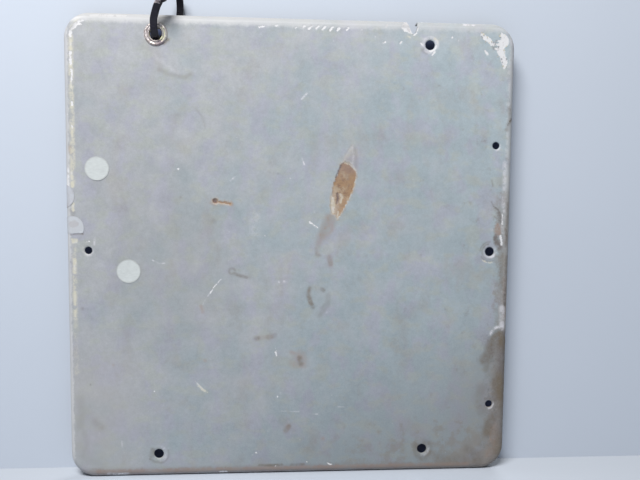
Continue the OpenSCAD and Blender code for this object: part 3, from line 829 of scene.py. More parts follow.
def clear_of_edges(points, loop, rings, margin):
    """The points that lie inside the loop and outside the rings, at least margin from each."""
    x, z = points.T
    keep = inside(loop, x, z) & (line_distance(loop, x, z, closed=True) > margin)
    for ring_x, ring_z, radius in rings:
        keep &= np.hypot(x - ring_x, z - ring_z) > radius + margin
    return points[keep]


def add_side(verts, faces, loop, rings, fill, depth):
    """Adds one side of the sheet; depth gives its y. Gives the numbers on the loop and on each ring."""
    spots, triangles, back = flat_sheet(loop, [circle(*ring) for ring in rings], fill)
    side = numbered(verts, [(x, y, z) for (x, z), y in zip(spots, depth(*spots.T))])
    faces += [tuple(side[k] for k in triangle) for triangle in triangles.tolist()]
    edges = [side[k] for k in back[:len(loop) + len(rings) * RING_POINTS]]
    starts = range(len(loop), len(edges), RING_POINTS)
    return edges[:len(loop)], [edges[k:k + RING_POINTS] for k in starts]


def add_rim(verts, run, ways, section):
    """Adds a row of points along the run for each place in the rim's section. Gives the rows."""
    on_top = ways[:, 1] > 0.999
    x = run[:, 0]
    near_left = np.where(on_top & (x < NOTCH_X), np.clip(1 - (NOTCH_FLOOR[0][0] - x) / 5, 0, 1), 0)
    near_right = np.where(on_top & (x > NOTCH_X), np.clip(1 - (x - NOTCH_FLOOR[-1][0]) / 5, 0, 1), 0)
    rows = []
    for k, (out, y) in enumerate(section, start=1):
        spot = run + ways * out
        for side, near in ((NOTCH_LEFT, near_left), (NOTCH_RIGHT, near_right)):
            spot[:, 0] += (np.interp(out, *zip(*side)) - side[0][1]) * near
        if k <= OUTER_ROWS:
            fleck = hash_noise(spot[:, 0], spot[:, 1] + 7 * y, 1.9, 11)
            pressed = np.clip(fleck - 0.35, 0, 1) * np.where(on_top, 0.35, 0.16) + 0.03
            for nick_x, nick_z, radius, depth in NICKS:
                away = np.hypot(np.hypot(spot[:, 0] - nick_x, spot[:, 1] - nick_z), (y - 3) * 0.5)
                pressed = pressed + depth * np.clip(1 - away / radius, 0, 1)
            spot -= ways * pressed[:, None] * min(1, out / 2)
        rows.append(numbered(verts, [(x, y, z) for x, z in spot]))
    return rows


def rim_ends(rows):
    """Faces that close the rim's section at both sides of the notch."""
    faces, half = [], len(rows) // 2
    for end in (0, -1):
        column = [row[end] for row in rows]
        inner = column[::-1]
        faces += [(column[a], column[a + 1], inner[a + 1], inner[a]) for a in range(half - 1)]
        faces.append((column[half - 1], column[half], column[half + 1]))
    return faces


def hole_wall(verts, hole, front, back):
    """Faces of a hole: its rounded front edge, its wall and its slightly raised back edge."""
    x, z, radius, edge = hole
    levels = []
    for t in (0.75, 0.5, 0.3, 0.15, 0.05, 0.0) if edge else ():
        sink = 0.08 + 0.62 * (1 - math.sqrt(1 - (1 - t) ** 2.2))
        levels.append((radius + edge * t, FACE_Y + sink))
    levels.append((radius, -0.35))
    rings = [numbered(verts, [(px, y, pz) for px, pz in circle(x, z, wide)]) for wide, y in levels]
    return strip([front] + rings + [back], True)


def plate_mesh(look):
    """Points and faces of the whole plate, one closed shell."""
    bend = look.bend_radius / MM
    half_x, half_z = PLATE_HIGH[0] - bend, PLATE_HIGH[2] - bend
    notch_left, notch_right = NOTCH_FLOOR[0][0], NOTCH_FLOOR[-1][0]
    run, ways = outline_run(half_x, half_z, look.corner_radius / MM - bend, notch_right, notch_left)
    loop = np.concatenate([run, np.array(NOTCH_FLOOR)[1:-1]])
    holes = plate_holes()
    verts, faces = [], []

    rings = [(x, z, radius + edge) for x, z, radius, edge in holes]
    fill = graded_points(lambda x, z: front_spacing(x, z, look.finest / MM, half_x, half_z),
                         half_x, half_z, COARSE_FRONT)
    rng = np.random.default_rng(7)
    fill = clear_of_edges(fill + rng.uniform(-0.04, 0.04, fill.shape), loop, rings, 0.35)
    front, front_rings = add_side(verts, faces, loop, rings, fill,
                                  lambda x, z: FACE_Y + face_drop(x, z, mark_fields(x, z)))

    rings = [(x, z, radius) for x, z, radius, _ in holes]
    fill = graded_points(lambda x, z: np.full(x.shape, COARSE_BACK), half_x, half_z, COARSE_BACK)
    fill = clear_of_edges(fill, loop, rings, 1.5)
    back, back_rings = add_side(verts, faces, loop, rings, fill, lambda x, z: np.zeros(x.shape))

    count = len(run)
    section = rim_rows(bend, -FACE_Y, RIM_Y)[1:-1]
    rows = [front[:count]] + add_rim(verts, run, ways, section) + [back[:count]]
    faces += strip(rows, False) + rim_ends(rows)
    cut = list(range(count - 1, len(loop))) + [0]
    faces += [(front[a], front[b], back[b], back[a]) for a, b in zip(cut, cut[1:])]
    for hole, front_ring, back_ring in zip(holes, front_rings, back_rings):
        faces += hole_wall(verts, hole, front_ring, back_ring)
    return np.array(verts), faces


def on_inner_side(points, look):
    """1 for points on the inner side of the sheet, and 0 for the rest."""
    bend = look.bend_radius / MM
    x, y, z = points.T
    radius = look.corner_radius / MM - bend
    past_x, past_z = abs(x) - (PLATE_HIGH[0] - bend - radius), abs(z) - (PLATE_HIGH[2] - bend - radius)
    corner = np.hypot(np.maximum(past_x, 0), np.maximum(past_z, 0))
    out = corner + np.minimum(np.maximum(past_x, past_z), 0) - radius
    mid = FACE_Y + bend
    inner = bend - 0.6
    turned = np.where(y > mid, out < inner, np.hypot(out, y - mid) < inner)
    return np.where((y > -0.001) & ((out <= 0.01) | turned), 1.0, 0.0)


class PaintFinish(Finish):
    """The plate's finish, with the places and noises that its coats share."""

    def __init__(self, name):
        super().__init__(name)
        self.x, self.z = self.part("X"), self.part("Z")
        self.fine, self.small = self.noise(0.9, 3), self.noise(3.2, 4, 0.6)
        self.broad, self.wide = self.noise(17, 3), self.noise(60, 2)
        self.uneven = self.small * 6.0 + self.fine * 2.5
        self.ragged = self.fine * 0.9 + self.small * 1.1

    def cover(self, name, amount, soft):
        """1 inside a mark's uneven edge, and 0 outside."""
        return self.ramp(self.attribute(name) + self.ragged * amount, -soft, soft, 1.0, 0.0)

    def beyond(self, x_low, x_high, z_low, z_high, spread):
        """1 past one line across and one line up, both wavering by spread."""
        return (self.ramp(self.x + self.broad * spread, x_low, x_high)
                * self.ramp(self.z + self.broad * spread, z_low, z_high))


def lay_grey(f, look):
    """The sound paint: mottled, darker low down, handled and specked."""
    x, z = f.x, f.z
    warmth = f.ramp(x * -0.004 + z * 0.0012 + f.broad * 1.5 + f.wide * 1.6, -0.50, 0.70)
    f.colour = f.mix(look.cool, look.warm, warmth)
    lilac = f.ramp(f.noise(16, 4, 0.6, place=f.stretched(1.0, 1.0, 0.7)), -0.02, 0.12)
    green = f.ramp(f.noise(12, 4, 0.6, place=f.stretched(0.8, 1.0, 1.3)), 0.0, 0.13)
    veil = f.ramp(f.noise(26, 4, 0.62, place=f.stretched(1.2, 1.0, 0.9)), 0.02, 0.20)
    f.coat((0.375, 0.380, 0.450), lilac * 0.62)
    f.coat((0.395, 0.420, 0.390), green * 0.55)
    f.coat((0.345, 0.330, 0.315), veil * 0.38)
    f.shade(1.0 + f.small * 0.26 + f.fine * 0.24 + f.broad * 0.28 + f.wide * 0.14)
    low = f.ramp(z, 10, -150) * f.ramp(x, -130, 40, 0.25, 1.0)
    f.shade(1.0 - low * 0.15 + f.ramp(x + z, 110, 270) * 0.13)
    f.coat((0.46, 0.44, 0.43), f.beyond(-95, -135, -50, -100, 50) * 0.35)
    handled = f.ramp((x + 82) ** 2 + (z + 8) ** 2 * 0.5 + f.broad * 4000, 200, 3400, 1.0, 0.0)
    f.coat((0.285, 0.270, 0.250), handled * 0.16)
    f.coat((0.285, 0.270, 0.250), f.beyond(100, 128, -55, -85, 60) * 0.22)
    cell = f.cells(5.5, out="Color")
    pick, tone = (f.node("ShaderNodeSeparateColor", None, {0: cell}, out=k) for k in (0, 1))
    speck = f.ramp(f.cells(5.5), 0.04, 0.10, 1.0, 0.0) * f.ramp(pick, 0.86, 0.88)
    f.coat(f.mix((0.18, 0.17, 0.16), (0.58, 0.60, 0.60), f.ramp(tone, 0.55, 0.6)), speck * 0.35)


def lay_edges(f):
    """Grime and painted shade towards the lower right and on the bottom and right bends, pale bends from
    rubbed paint and a painted highlight, and a brownish right edge. Gives where the pale bends show.
    """
    x, z = f.x, f.z
    # Darker towards the lower right and on the bottom and right bends: grime, and painted shade where the
    # plate turns from the light.
    grime_and_painted_shade = f.ramp(x * 0.5 - z, 90, 230) * 0.50
    grime_and_painted_shade = grime_and_painted_shade + f.ramp(z, -149, -153.5) * 0.25 + f.ramp(x, 146, 151) * 0.25
    f.coat((0.175, 0.170, 0.165), grime_and_painted_shade * (0.75 + f.small * 0.9 + f.broad * 0.9))
    # The top, left and right bends are paler: rubbed paint, and a painted highlight that is strongest at
    # the top left, where the light falls.
    top = f.ramp(z + f.uneven * 0.45, 149.6, 152.8) * f.ramp(x, -100, 110, 0.90, 0.50)
    left = f.ramp(x * -1.0 + f.uneven * 0.5, 148.6, 150.2) * 0.75
    right = f.ramp(x + f.uneven, 146.4, 149.4) * f.ramp(z, -62, -48) * 0.55
    rubbed_and_lit_bends = top.most(left).most(right) * (0.92 + f.broad * 0.9)
    f.coat(f.mix((0.62, 0.625, 0.63), (0.475, 0.48, 0.485), f.ramp(z, 153.6, 154.8)), rubbed_and_lit_bends)
    # The bottom bend is darker and brownish: dirt, and painted shade on the side turned down from the
    # light.
    under = f.ramp(z * -1.0 + f.uneven, 150.6, 153.4) * (0.55 + f.broad * 1.2)
    f.coat((0.235, 0.195, 0.185), under)
    side = f.ramp(x + f.small * 22 + f.broad * 12, 140.5, 146.5) * f.ramp(z + f.broad * 40, 62, 30)
    f.coat((0.225, 0.190, 0.160), side * (0.50 + f.fine * 1.0))
    return rubbed_and_lit_bends


def lay_wear(f):
    """Mud and grit on the worn edge and low down. Gives how worn each place is."""
    x, z = f.x, f.z
    worn = f.attribute("wear") + f.small * 12 + f.fine * 4 + f.broad * 18
    worn = f.ramp(worn, -8.0, 5.0, 1.0, 0.0) * f.ramp(f.small + f.fine, -0.22, 0.16, 0.7, 1.0)
    mud = f.ramp(f.small * 0.9 + f.broad * 1.1 + f.fine * 0.5, -0.28, 0.25)
    f.coat(f.mix((0.135, 0.120, 0.105), (0.235, 0.225, 0.220), mud), worn * 0.72)
    grit = f.noise(1.5, 3, 0.7)
    f.coat((0.095, 0.085, 0.080), f.ramp(grit, 0.04, 0.15) * worn * 0.45)
    f.coat((0.36, 0.34, 0.32), f.ramp(grit, -0.05, -0.16) * worn * 0.45)
    muddy = f.noise(9, 4, 0.65) + f.ramp(z, -154, -95, 0.22, 0.0) + f.ramp(x, 40, 150, 0.0, 0.09)
    f.coat((0.235, 0.205, 0.175), f.ramp(muddy, 0.16, 0.34) * f.ramp(x + z * 0.2, -60, 60) * 0.5)
    return worn


def lay_soft_marks(f, look):
    """Rust blush, stains, and pale rubs with painted highlights on the holes' edges and the bends' ridges.
    Gives where the stains are.
    """
    unevenly = 1.0 + f.small * 2.6 + f.fine * 1.0
    stain = f.attribute("stain") * unevenly * f.ramp(f.x, 125, 145, 1.0, 1.25)
    patchy = f.ramp(f.noise(4.2, 3, 0.7) + f.fine * 0.25, -0.11, 0.10, 0.22, 1.25)
    f.coat((0.34, 0.225, 0.165), f.attribute("blush") * unevenly * 0.85)
    f.coat(f.mix((0.165, 0.135, 0.100), (0.170, 0.155, 0.150), f.ramp(f.broad, -0.1, 0.2)), stain)
    # Pale rubs, with painted highlights on the holes' rounded edges and the bends' ridges.
    whiter = f.mix(look.cream, (0.66, 0.655, 0.69), f.ramp(f.x, -144, -138))
    f.coat(whiter, f.attribute("pale") * patchy)
    return stain


def rust_tones(f, look):
    """The rust's colour: darker pits, lighter blooms and a thin tan film in its lower half."""
    x, z = f.x, f.z
    tone = f.mix(look.rust, (0.20, 0.125, 0.095), f.ramp(f.small + f.fine * 0.5, -0.02, 0.22) * 0.8)
    tone = f.mix(tone, (0.46, 0.38, 0.28), f.ramp(f.noise(5, 3), 0.0, 0.18) * 0.65)
    tone = f.mix(tone, (0.29, 0.205, 0.165), f.ramp(z + f.small * 20, 47, 57) * 0.75)
    thin = f.ramp(x, 15, 20) * f.ramp(z + x * 0.5 + f.small * 18 + f.broad * 12, 59, 52)
    thin = thin * f.ramp(f.fine + f.small, -0.16, 0.10, 0.25, 0.75)
    film = f.mix((0.47, 0.395, 0.325), (0.40, 0.275, 0.180), f.ramp(x + f.small * 12, 30, 33))
    return f.mix(tone, film, thin)


def lay_sharp_marks(f, look):
    """Bare rust, dark recesses with painted shade, cream and white chips. Gives where the rust and the
    white are.
    """
    x, z = f.x, f.z
    cream, white = f.cover("cream", 2.2, 0.5), f.cover("white", 2.0, 0.25)
    rust, dark = f.cover("rust", 2.2, 0.5), f.cover("dark", 1.4, 0.7)
    halo = f.ramp(f.attribute("rust") + f.ragged * 2.5, 0.2, 1.7, 0.55, 0.0)
    f.coat(f.mix((0.42, 0.33, 0.25), (0.50, 0.47, 0.42), f.ramp(f.small, -0.1, 0.1)), halo)
    f.coat(rust_tones(f, look), rust)
    fresh = f.mix(look.cream, look.undercoat, f.ramp(f.small, -0.1, 0.25))
    f.coat(f.brighten(fresh, 1.0 + f.fine * 0.15), cream * (0.8 - rust * 0.25))
    # Dark rust with painted shade in the recesses.
    f.coat((0.11, 0.085, 0.10), dark * 0.7)
    # The white chips are painted darker on the top bend and at the top left corner, where the light on them
    # is brightest: painted shade.
    painted_shade_on_chips = f.ramp(z, 151.5, 153.5, 1.0, 0.76) * (1 - f.ramp(x, -142, -146) * f.ramp(z, 142, 147) * 0.22)
    chip = f.mix(look.undercoat, (0.55, 0.53, 0.54), f.ramp(f.small, 0.02, 0.22))
    f.coat(f.brighten(chip, (1.0 + f.fine * 0.1) * painted_shade_on_chips), white)
    return rust, white


def lay_back(f, look):
    """The back's dull primer and rust. Gives where the back's rust is."""
    behind = f.attribute("behind")
    primer = f.mix(look.primer, (0.20, 0.19, 0.18), f.ramp(f.broad + f.small, -0.2, 0.3))
    rusty = f.broad * 1.4 + f.small * 0.8 + f.ramp(f.z, -60, -155) * 0.28
    rusty = f.ramp(rusty + f.ramp(abs(f.x), 120, 150) * 0.12, 0.28, 0.42)
    rust = f.mix((0.20, 0.095, 0.05), (0.33, 0.17, 0.08), f.ramp(f.fine, -0.2, 0.2))
    f.coat(f.mix(f.brighten(primer, 1.0 + f.fine * 0.1), rust, rusty), behind)
    return rusty * behind


def paint_finish(look):
    """Grey paint over a white undercoat over steel, chipped, stained and rusted."""
    f = PaintFinish("worn_grey_paint")
    lay_grey(f, look)
    rubbed_and_lit_bends = lay_edges(f)
    worn = lay_wear(f)
    stain = lay_soft_marks(f, look)
    rust, white = lay_sharp_marks(f, look)
    bare = rust.most(worn * 0.6).most(lay_back(f, look))
    rough = 0.40 + f.small * 0.12 + f.broad * 0.10 + stain * 0.15 + white * 0.35 + bare * 0.32 + rubbed_and_lit_bends * 0.30
    height = f.fine * (0.25 + bare * 1.5) + f.small * 0.6 + f.noise(1.8, 1) * 0.5 - white * 1.2
    return f.surface(Roughness=rough.least(0.95), Normal=f.bump(height, 0.05), Specular_IOR_Level=0.42)


class PLATE_OT_build(bpy.types.Operator):
    """Builds the pressed plate with its rim, holes, notch and worn paint"""

    bl_idname = "sign_plate.build_plate"
    bl_label = "Plate"

    def execute(self, context):
        look = context.scene.plate_look
        points, faces = plate_mesh(look)
        fields = mark_fields(points[:, 0], points[:, 2])
        fields["behind"] = on_inner_side(points, look)
        plate = solid("plate_shell", points, faces, paint_finish(look), 32, fields)
        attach(plate, "plate")
        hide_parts("sign_plate")
        return {"FINISHED"}


# ---- eyelet ----

# The eyelet's section as (radius, y): the flange's rim, its two rings, the bore, and back outside.
FLANGE = [(7.86, -1.27), (7.9, -1.45), (7.75, -1.72), (7.4, -1.95), (6.95, -2.08), (6.5, -2.04),
          (6.15, -1.88), (5.9, -1.8), (5.65, -1.88), (5.3, -2.14), (4.95, -2.26), (4.6, -2.2),
          (4.3, -1.98), (4.14, -1.65), (4.1, -1.2), (4.1, -0.6), (4.1, 0.0), (4.1, 0.45), (4.12, 0.8),
          (4.2, 1.05)]
BARREL_BACK = [(4.5, 1.0), (4.6, 0.72), (4.6, 0.4), (4.6, 0.0), (4.6, -0.6), (4.62, -1.1), (4.8, -1.24),
               (5.4, -1.26), (6.2, -1.26), (7.2, -1.26)]
# A tongue of the barrel's split end as (radius, y): its outer and its inner line, from the bore outwards.
PETAL_TOP = [(4.12, 0.75), (4.14, 1.0), (4.28, 1.18), (4.55, 1.24), (4.95, 1.2), (5.35, 1.1), (5.7, 0.98),
             (5.86, 0.92)]
PETAL_UNDER = [(4.5, 0.70), (4.52, 0.72), (4.56, 0.74), (4.62, 0.76), (4.75, 0.78), (5.0, 0.78),
               (5.4, 0.78), (5.8, 0.78)]
WASHER = [(4.68, 0.02), (5.2, 0.01), (6.6, 0.01), (7.3, 0.02), (7.48, 0.14), (7.5, 0.3), (7.42, 0.5),
          (7.1, 0.62), (6.5, 0.68), (5.6, 0.66), (4.9, 0.62), (4.7, 0.5), (4.66, 0.3)]


def lathe(section, count, dent):
    """A closed section turned about the eyelet's axis. dent(angles, radius, y) shifts radius and y."""
    angles = np.linspace(0, 2 * math.pi, count, endpoint=False)
    points, rows = [], []
    for radius, y in section:
        shifts = zip(angles, *dent(angles, radius, y))
        rows.append(numbered(points, [(EYE_X + (radius + out) * math.cos(t), y + back,
                                       EYE_Z + (radius + out) * math.sin(t)) for t, out, back in shifts]))
    return points, strip(rows + [rows[0]], True)


def flange_dent(angles, radius, y):
    """Tool marks and knocks on the flange, none in the bore or at the back."""
    share = np.clip((radius - 4.3) / 2, 0, 1) * (y < -1.3)
    wave = hash_noise(np.cos(angles) * 9 + 20, np.sin(angles) * 9 + radius, 2.2, 21)
    ripple = hash_noise(angles * 9, np.full(angles.shape, radius * 0.6), 1.0, 22)
    return -0.16 * share * (1 + wave), 0.12 * share * (1 + wave) + 0.10 * share * ripple


def washer_wave(angles, radius, y):
    """A slight wave in the washer's back."""
    return 0 * angles, 0.02 * np.sin(3 * angles + radius) * (y > 0.4)


def brass_finish(name, look, dull):
    """Brass with dirt, rubbed high places, painted glints and gleams, and painted shade towards its lower
    right and in its creases. dull is 0 for bright brass and 1 for dull.
    """
    f = Finish(name)
    fine, small, broad = f.noise(0.5, 3), f.noise(1.6, 4, 0.6), f.noise(5, 2)
    ring_marks = f.noise(0.9, 2, place=f.stretched(1, 4, 1))
    hollow = f.node("ShaderNodeNewGeometry", out="Pointiness")
    x, z = f.part("X") - EYE_X, f.part("Z") - EYE_Z
    radius = (x ** 2 + z ** 2) ** 0.5
    bright = 1.0 - dull
    # Grows towards the lower right, away from the light: it adds painted shade to the tarnish there and
    # thins the painted glints.
    turned = x * 0.022 - z * 0.014
    f.colour = f.mix(look.brass, (0.56, 0.50, 0.49), f.ramp(small + broad, 0.0, 0.35))
    # Tarnish, with painted shade towards the lower right.
    dirt = f.ramp(small * 1.7 + broad + dull * 0.25 + turned, -0.08, 0.24)
    f.coat(look.tarnish, dirt * (0.75 + dull * 0.1))
    # Painted glints, more towards the upper left, over paler high places where the brass is rubbed.
    glint = f.ramp(f.noise(1.3, 3, 0.7) * 1.4 - turned * 0.6, 0.05, 0.17)
    f.coat((0.64, 0.60, 0.59), (f.ramp(hollow, 0.54, 0.62) * 0.25 + glint * 0.8) * (1.0 - 0.7 * dull))
    # Darker brownish spokes in the flange's radial creases: tarnish and painted shade.
    spokes = {0: x / radius * 0.006, 1: z / radius * 0.006, 2: radius * 0.0002}
    round_it = f.node("ShaderNodeCombineXYZ", None, spokes)
    crease = f.ramp(f.noise(0.8, 2, 0.6, place=round_it), 0.0, 0.14) * f.ramp(radius, 4.4, 5.2) * bright
    f.coat((0.30, 0.235, 0.235), crease * 0.6)
    greyed = f.ramp(x + z * 0.4 + small * 4, 1.0, 4.5) * f.ramp(broad, -0.15, 0.1, 0.5, 1.0) * bright
    f.coat((0.43, 0.43, 0.40), greyed * 0.65)
    low_right = f.ramp(away_from(x, z, 3.4, -6.0) + small * 3, 1.6, 3.2, 1.0, 0.0) * bright
    f.coat((0.21, 0.165, 0.185), low_right * 0.75)
    # Painted highlights: a yellow-white gleam at the lower right of the bore and a bright arc on the
    # flange's right.
    gleam = f.ramp(away_from(x, z, 3.4, -2.6), 1.0, 2.0, 1.0, 0.0) * f.ramp(radius, 5.0, 5.4, 1.0, 0.0)
    arc_line = f.ramp(abs(radius - 5.9), 0.25, 0.5, 1.0, 0.0) * f.ramp(x, 3.4, 4.4) * bright
    f.coat((0.80, 0.78, 0.50), gleam.most(arc_line * 0.6) * 0.9)
    # The bore's wall is a brighter yellow brass: fresher brass and a painted highlight.
    f.coat((0.70, 0.60, 0.27), f.ramp(radius, 4.15, 4.3, 1.0, 0.0) * 0.7)
    rough = 0.36 + dull * 0.16 + small * 0.3 + dirt * 0.2
    height = fine * 0.6 + ring_marks * 0.8 + small * 0.9 - crease * 0.8
    return f.surface(Metallic=0.62 - dirt * 0.45, Roughness=rough, Normal=f.bump(height, 0.06))


def grow(obj, name, build, **inputs):
    """Runs a Geometry Nodes tree on an object and keeps the result as its plain mesh.

    inputs are the tree's own inputs as (kind of socket, value). build(tree, values) gives the geometry.
    """
    group = bpy.data.node_groups.new(name, "GeometryNodeTree")
    tree = Tree(group)
    sockets = [("Geometry", "Geometry", "INPUT")]
    sockets += [(label, kind, "INPUT") for label, (kind, _) in inputs.items()]
    for label, kind, way in sockets + [("Geometry", "Geometry", "OUTPUT")]:
        group.interface.new_socket(label, in_out=way, socket_type="NodeSocket" + kind)
    entry = group.nodes.new("NodeGroupInput")
    values = {socket.name: Value(tree, socket) for socket in entry.outputs if socket.name}
    real = tree.node("GeometryNodeRealizeInstances", None, {0: build(tree, values)})
    dressed = {"Geometry": real, "Material": values["Material"]}
    tree.node("NodeGroupOutput", None, {0: tree.node("GeometryNodeSetMaterial", None, dressed)})
    modifier = obj.modifiers.new("growth", "NODES")
    modifier.node_group = group
    for item in group.interface.items_tree:
        if item.in_out == "INPUT" and item.name in inputs:
            modifier[item.identifier] = inputs[item.name][1]
    return baked(obj)


def planted(tree, points, shape, **sockets):
    """A copy of an object on every point."""
    info = tree.node("GeometryNodeObjectInfo", {"transform_space": "ORIGINAL"}, {0: shape}, out="Geometry")
    return tree.node("GeometryNodeInstanceOnPoints", None, {"Points": points, "Instance": info, **sockets})


def ring_of_petals(tree, values):
    """The barrel with petals set round its end."""
    ring = tree.node("GeometryNodeMeshCircle", None, {"Vertices": values["Count"], "Radius": 0.001})
    turn = tree.node("GeometryNodeInputIndex") * (2 * math.pi) / values["Count"]
    spin = tree.node("ShaderNodeCombineXYZ", None, {1: turn * -1.0})
    still = tree.node("GeometryNodeSetPosition", None, {"Geometry": ring, "Position": (0.0, 0.0, 0.0)})
    spread = planted(tree, still, values["Petal"], Rotation=spin)
    sockets = {"Geometry": spread, "Translation": values["Middle"]}
    moved = tree.node("GeometryNodeTransform", None, sockets)
    joined = tree.tree.nodes.new("GeometryNodeJoinGeometry")
    for part in (values["Geometry"], moved):
        tree.tree.links.new(part.socket, joined.inputs[0])
    return Value(tree, joined.outputs[0])


def petal_mesh(count):
    """One of count tongues, curled outwards over the washer, about the origin's Y axis."""
    points, rows = [], []
    for level, lines in enumerate(zip(PETAL_TOP, PETAL_UNDER)):
        t = level / (len(PETAL_TOP) - 1)
        width = math.pi / count * (1.0 - 0.20 * t) * (1 if t < 0.9 else 0.8)
        row = []
        for radius, y in lines:
            for share in (k / 3 - 1 for k in range(7)):
                angle, bow = width * share * 0.97, 0.05 * (1 - share ** 2) * t
                row.append((radius * math.cos(angle), y + bow * (radius > 4.6), radius * math.sin(angle)))
        rows.append(numbered(points, row))
    faces = strip([row[:7] + row[:6:-1] for row in rows], True)
    for end in (rows[0], rows[-1]):
        faces += [(end[k], end[k + 1], end[k + 8], end[k + 7]) for k in range(6)]
    return points, faces


class EYELET_OT_build(bpy.types.Operator):
    """Builds the eyelet's barrel with its flange and petals, and the washer under them"""

    bl_idname = "sign_plate.build_eyelet"
    bl_label = "Eyelet"

    def execute(self, context):
        look = context.scene.eyelet_look
        brass = brass_finish("tarnished_brass", look, 0.0)
        dull = brass_finish("dull_brass", look, 1.0)
        barrel = solid("eyelet_ring", *lathe(FLANGE + BARREL_BACK, 96, flange_dent), brass, 50)
        petal = solid("petal_shape", *petal_mesh(look.petals), brass, 50)
        grow(barrel, "petal_ring", ring_of_petals, Petal=("Object", petal), Count=("Int", look.petals),
             Middle=("Vector", (EYE_X * MM, 0.0, EYE_Z * MM)), Material=("Material", brass))
        bpy.data.objects.remove(petal)
        soften(barrel, 50)
        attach(barrel, "plate")
        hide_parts("eyelet_barrel")

        washer = solid("eyelet_washer_disc", *lathe(WASHER, 80, washer_wave), dull, 40)
        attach(washer, "plate")
        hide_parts("eyelet_washer")
        return {"FINISHED"}


# ---- cable tie ----

FRONT = -5.7            # y of the front strand's middle
BEHIND = 12.0           # y of the back strand's middle
CREST = 32.5            # height of the loop's top above the eyelet's middle
SEAT = 2.274            # how far below the eyelet's middle the strap lies
HEAD_MID = np.array([5.6, FRONT - 6, CREST - 10.5])
HEAD_UP = unit(np.array([0.36, -0.45, 0.82]))
HEAD_OUT = unit(across(np.array([0.0, -1.0, 0.0]), HEAD_UP))
HEAD_SIZE = (8.0, 5.4, 7.6)     # across, along the tail, along the strap
TAIL = 4.0
STEPS = 10              # rows of points in each stretch of the strap
TEETH_STEPS = 60        # places tried for a tooth in each stretch
# The strap's middle line and the way its outer face looks, from the eyelet's middle.
STRAP_PATH = [
    (HEAD_MID - HEAD_UP * HEAD_SIZE[2] / 2, HEAD_OUT),
    ((2.3, FRONT - 2.9, CREST - 16.6), (0, -1, -0.3)),
    ((1, FRONT - 2, CREST - 20), (0, -1, -0.2)),
    ((-0.2, FRONT - 1.2, CREST - 24.4), (0, -1, -0.1)),
    ((-0.3, FRONT - 0.6, 3.8), (0, -1, -0.1)),
    ((-0.2, FRONT + 0.3, 0.8), (0, -1, -0.4)),
    ((0, (FRONT - 1.2) / 2 - 0.6, -1.4), (0, -1, -1)),
    ((0, -1.6, -SEAT), (0, -0.2, -1)),
    ((0, 1.2, -SEAT), (0, 0.1, -1)),
    ((0.6, 3.9, -SEAT + 0.4), (0, 0.3, -1)),
    ((2.2, 8.0, -0.2), (0.2, 0.8, -1)),
    ((5.5, BEHIND - 1, 3.4), (0.3, 1, -0.5)),
    ((9.6, BEHIND + 0.7, 7.8), (0.3, 1, -0.1)),
    ((12.8, BEHIND + 1.2, 12.6), (0.2, 1, 0)),
    ((13.9, BEHIND + 1, CREST - 14), (0.1, 1, 0)),
    ((14, BEHIND + 0.2, CREST - 8.5), (0.1, 1, 0.1)),
    ((13.6, BEHIND - 1.8, CREST - 3.6), (0.1, 1, 0.5)),
    ((12.4, BEHIND - 5.6, CREST - 0.4), (0.2, 0.5, 1)),
    ((10.6, 1.6, CREST - 0.5), (0.1, -0.3, 1)),
    ((8.4, -2.8, CREST - 3.7), (0.1, -0.7, 1)),
    (HEAD_MID - HEAD_OUT * (HEAD_SIZE[1] / 2 + 1.6), HEAD_UP),
    (HEAD_MID + HEAD_OUT * (HEAD_SIZE[1] / 2 + TAIL), HEAD_UP),
]


def smooth(a, b, c, d, t):
    """A smooth curve through four neighbouring values, at t between the middle two."""
    return b + t / 2 * ((c - a) + t * ((2 * a - 5 * b + 4 * c - d) + t * (3 * (b - c) + d - a)))


def strap_at(place):
    """Middle, way along, way out and side way of the strap at a place counted in stretches of its path."""
    last = len(STRAP_PATH) - 1
    i = min(int(place), last - 1)
    t = place - i

    def at(part, s):
        picks = [max(i - 1, 0), i, i + 1, min(i + 2, last)]
        return smooth(*(np.asarray(STRAP_PATH[k][part], float) for k in picks), s)

    along = unit(at(0, min(t + 0.05, 1)) - at(0, max(t - 0.05, 0)))
    out = unit(across(at(1, t), along))
    return at(0, t) + np.array([EYE_X, 0, EYE_Z]), along, out, unit(np.cross(along, out))


def strap_section(width, thick):
    """The strap's section as (side, out): rounded outside, two rails and a trough inside."""
    w, h = width / 2, thick / 2
    half = [(0, 1), (0.45, 1), (0.80, 0.97), (0.94, 0.82), (1, 0.45), (1, -0.5), (0.96, -0.85),
            (0.88, -1), (0.80, -0.95), (0.74, -0.60), (0.70, -0.38), (0.35, -0.36), (0, -0.36)]
    return [(w * s, h * o) for s, o in half] + [(-w * s, h * o) for s, o in half[-2:0:-1]]


def strap_mesh(look):
    """The whole strap from under the head round to the cut tail."""
    section = strap_section(look.width / MM, look.thickness / MM)
    steps = (len(STRAP_PATH) - 1) * STEPS
    points, rows = [], []
    for k in range(steps + 1):
        mid, along, out, side = strap_at(k / STEPS)
        narrow = 1.0 if k < steps - 1 else 0.96
        slant = along * 0.35 if k == steps else 0
        rows.append(numbered(points, [mid + side * s * narrow + out * o * narrow + slant * (s / 2.4)
                                      for s, o in section]))
    return points, tube(rows)


def head_frame(x, y, z):
    """A place in the head (across, along the tail, along the strap) in the plate's frame."""
    side = np.cross(HEAD_OUT, HEAD_UP)
    return HEAD_MID + np.array([EYE_X, 0, EYE_Z]) + side * x + HEAD_OUT * y + HEAD_UP * z


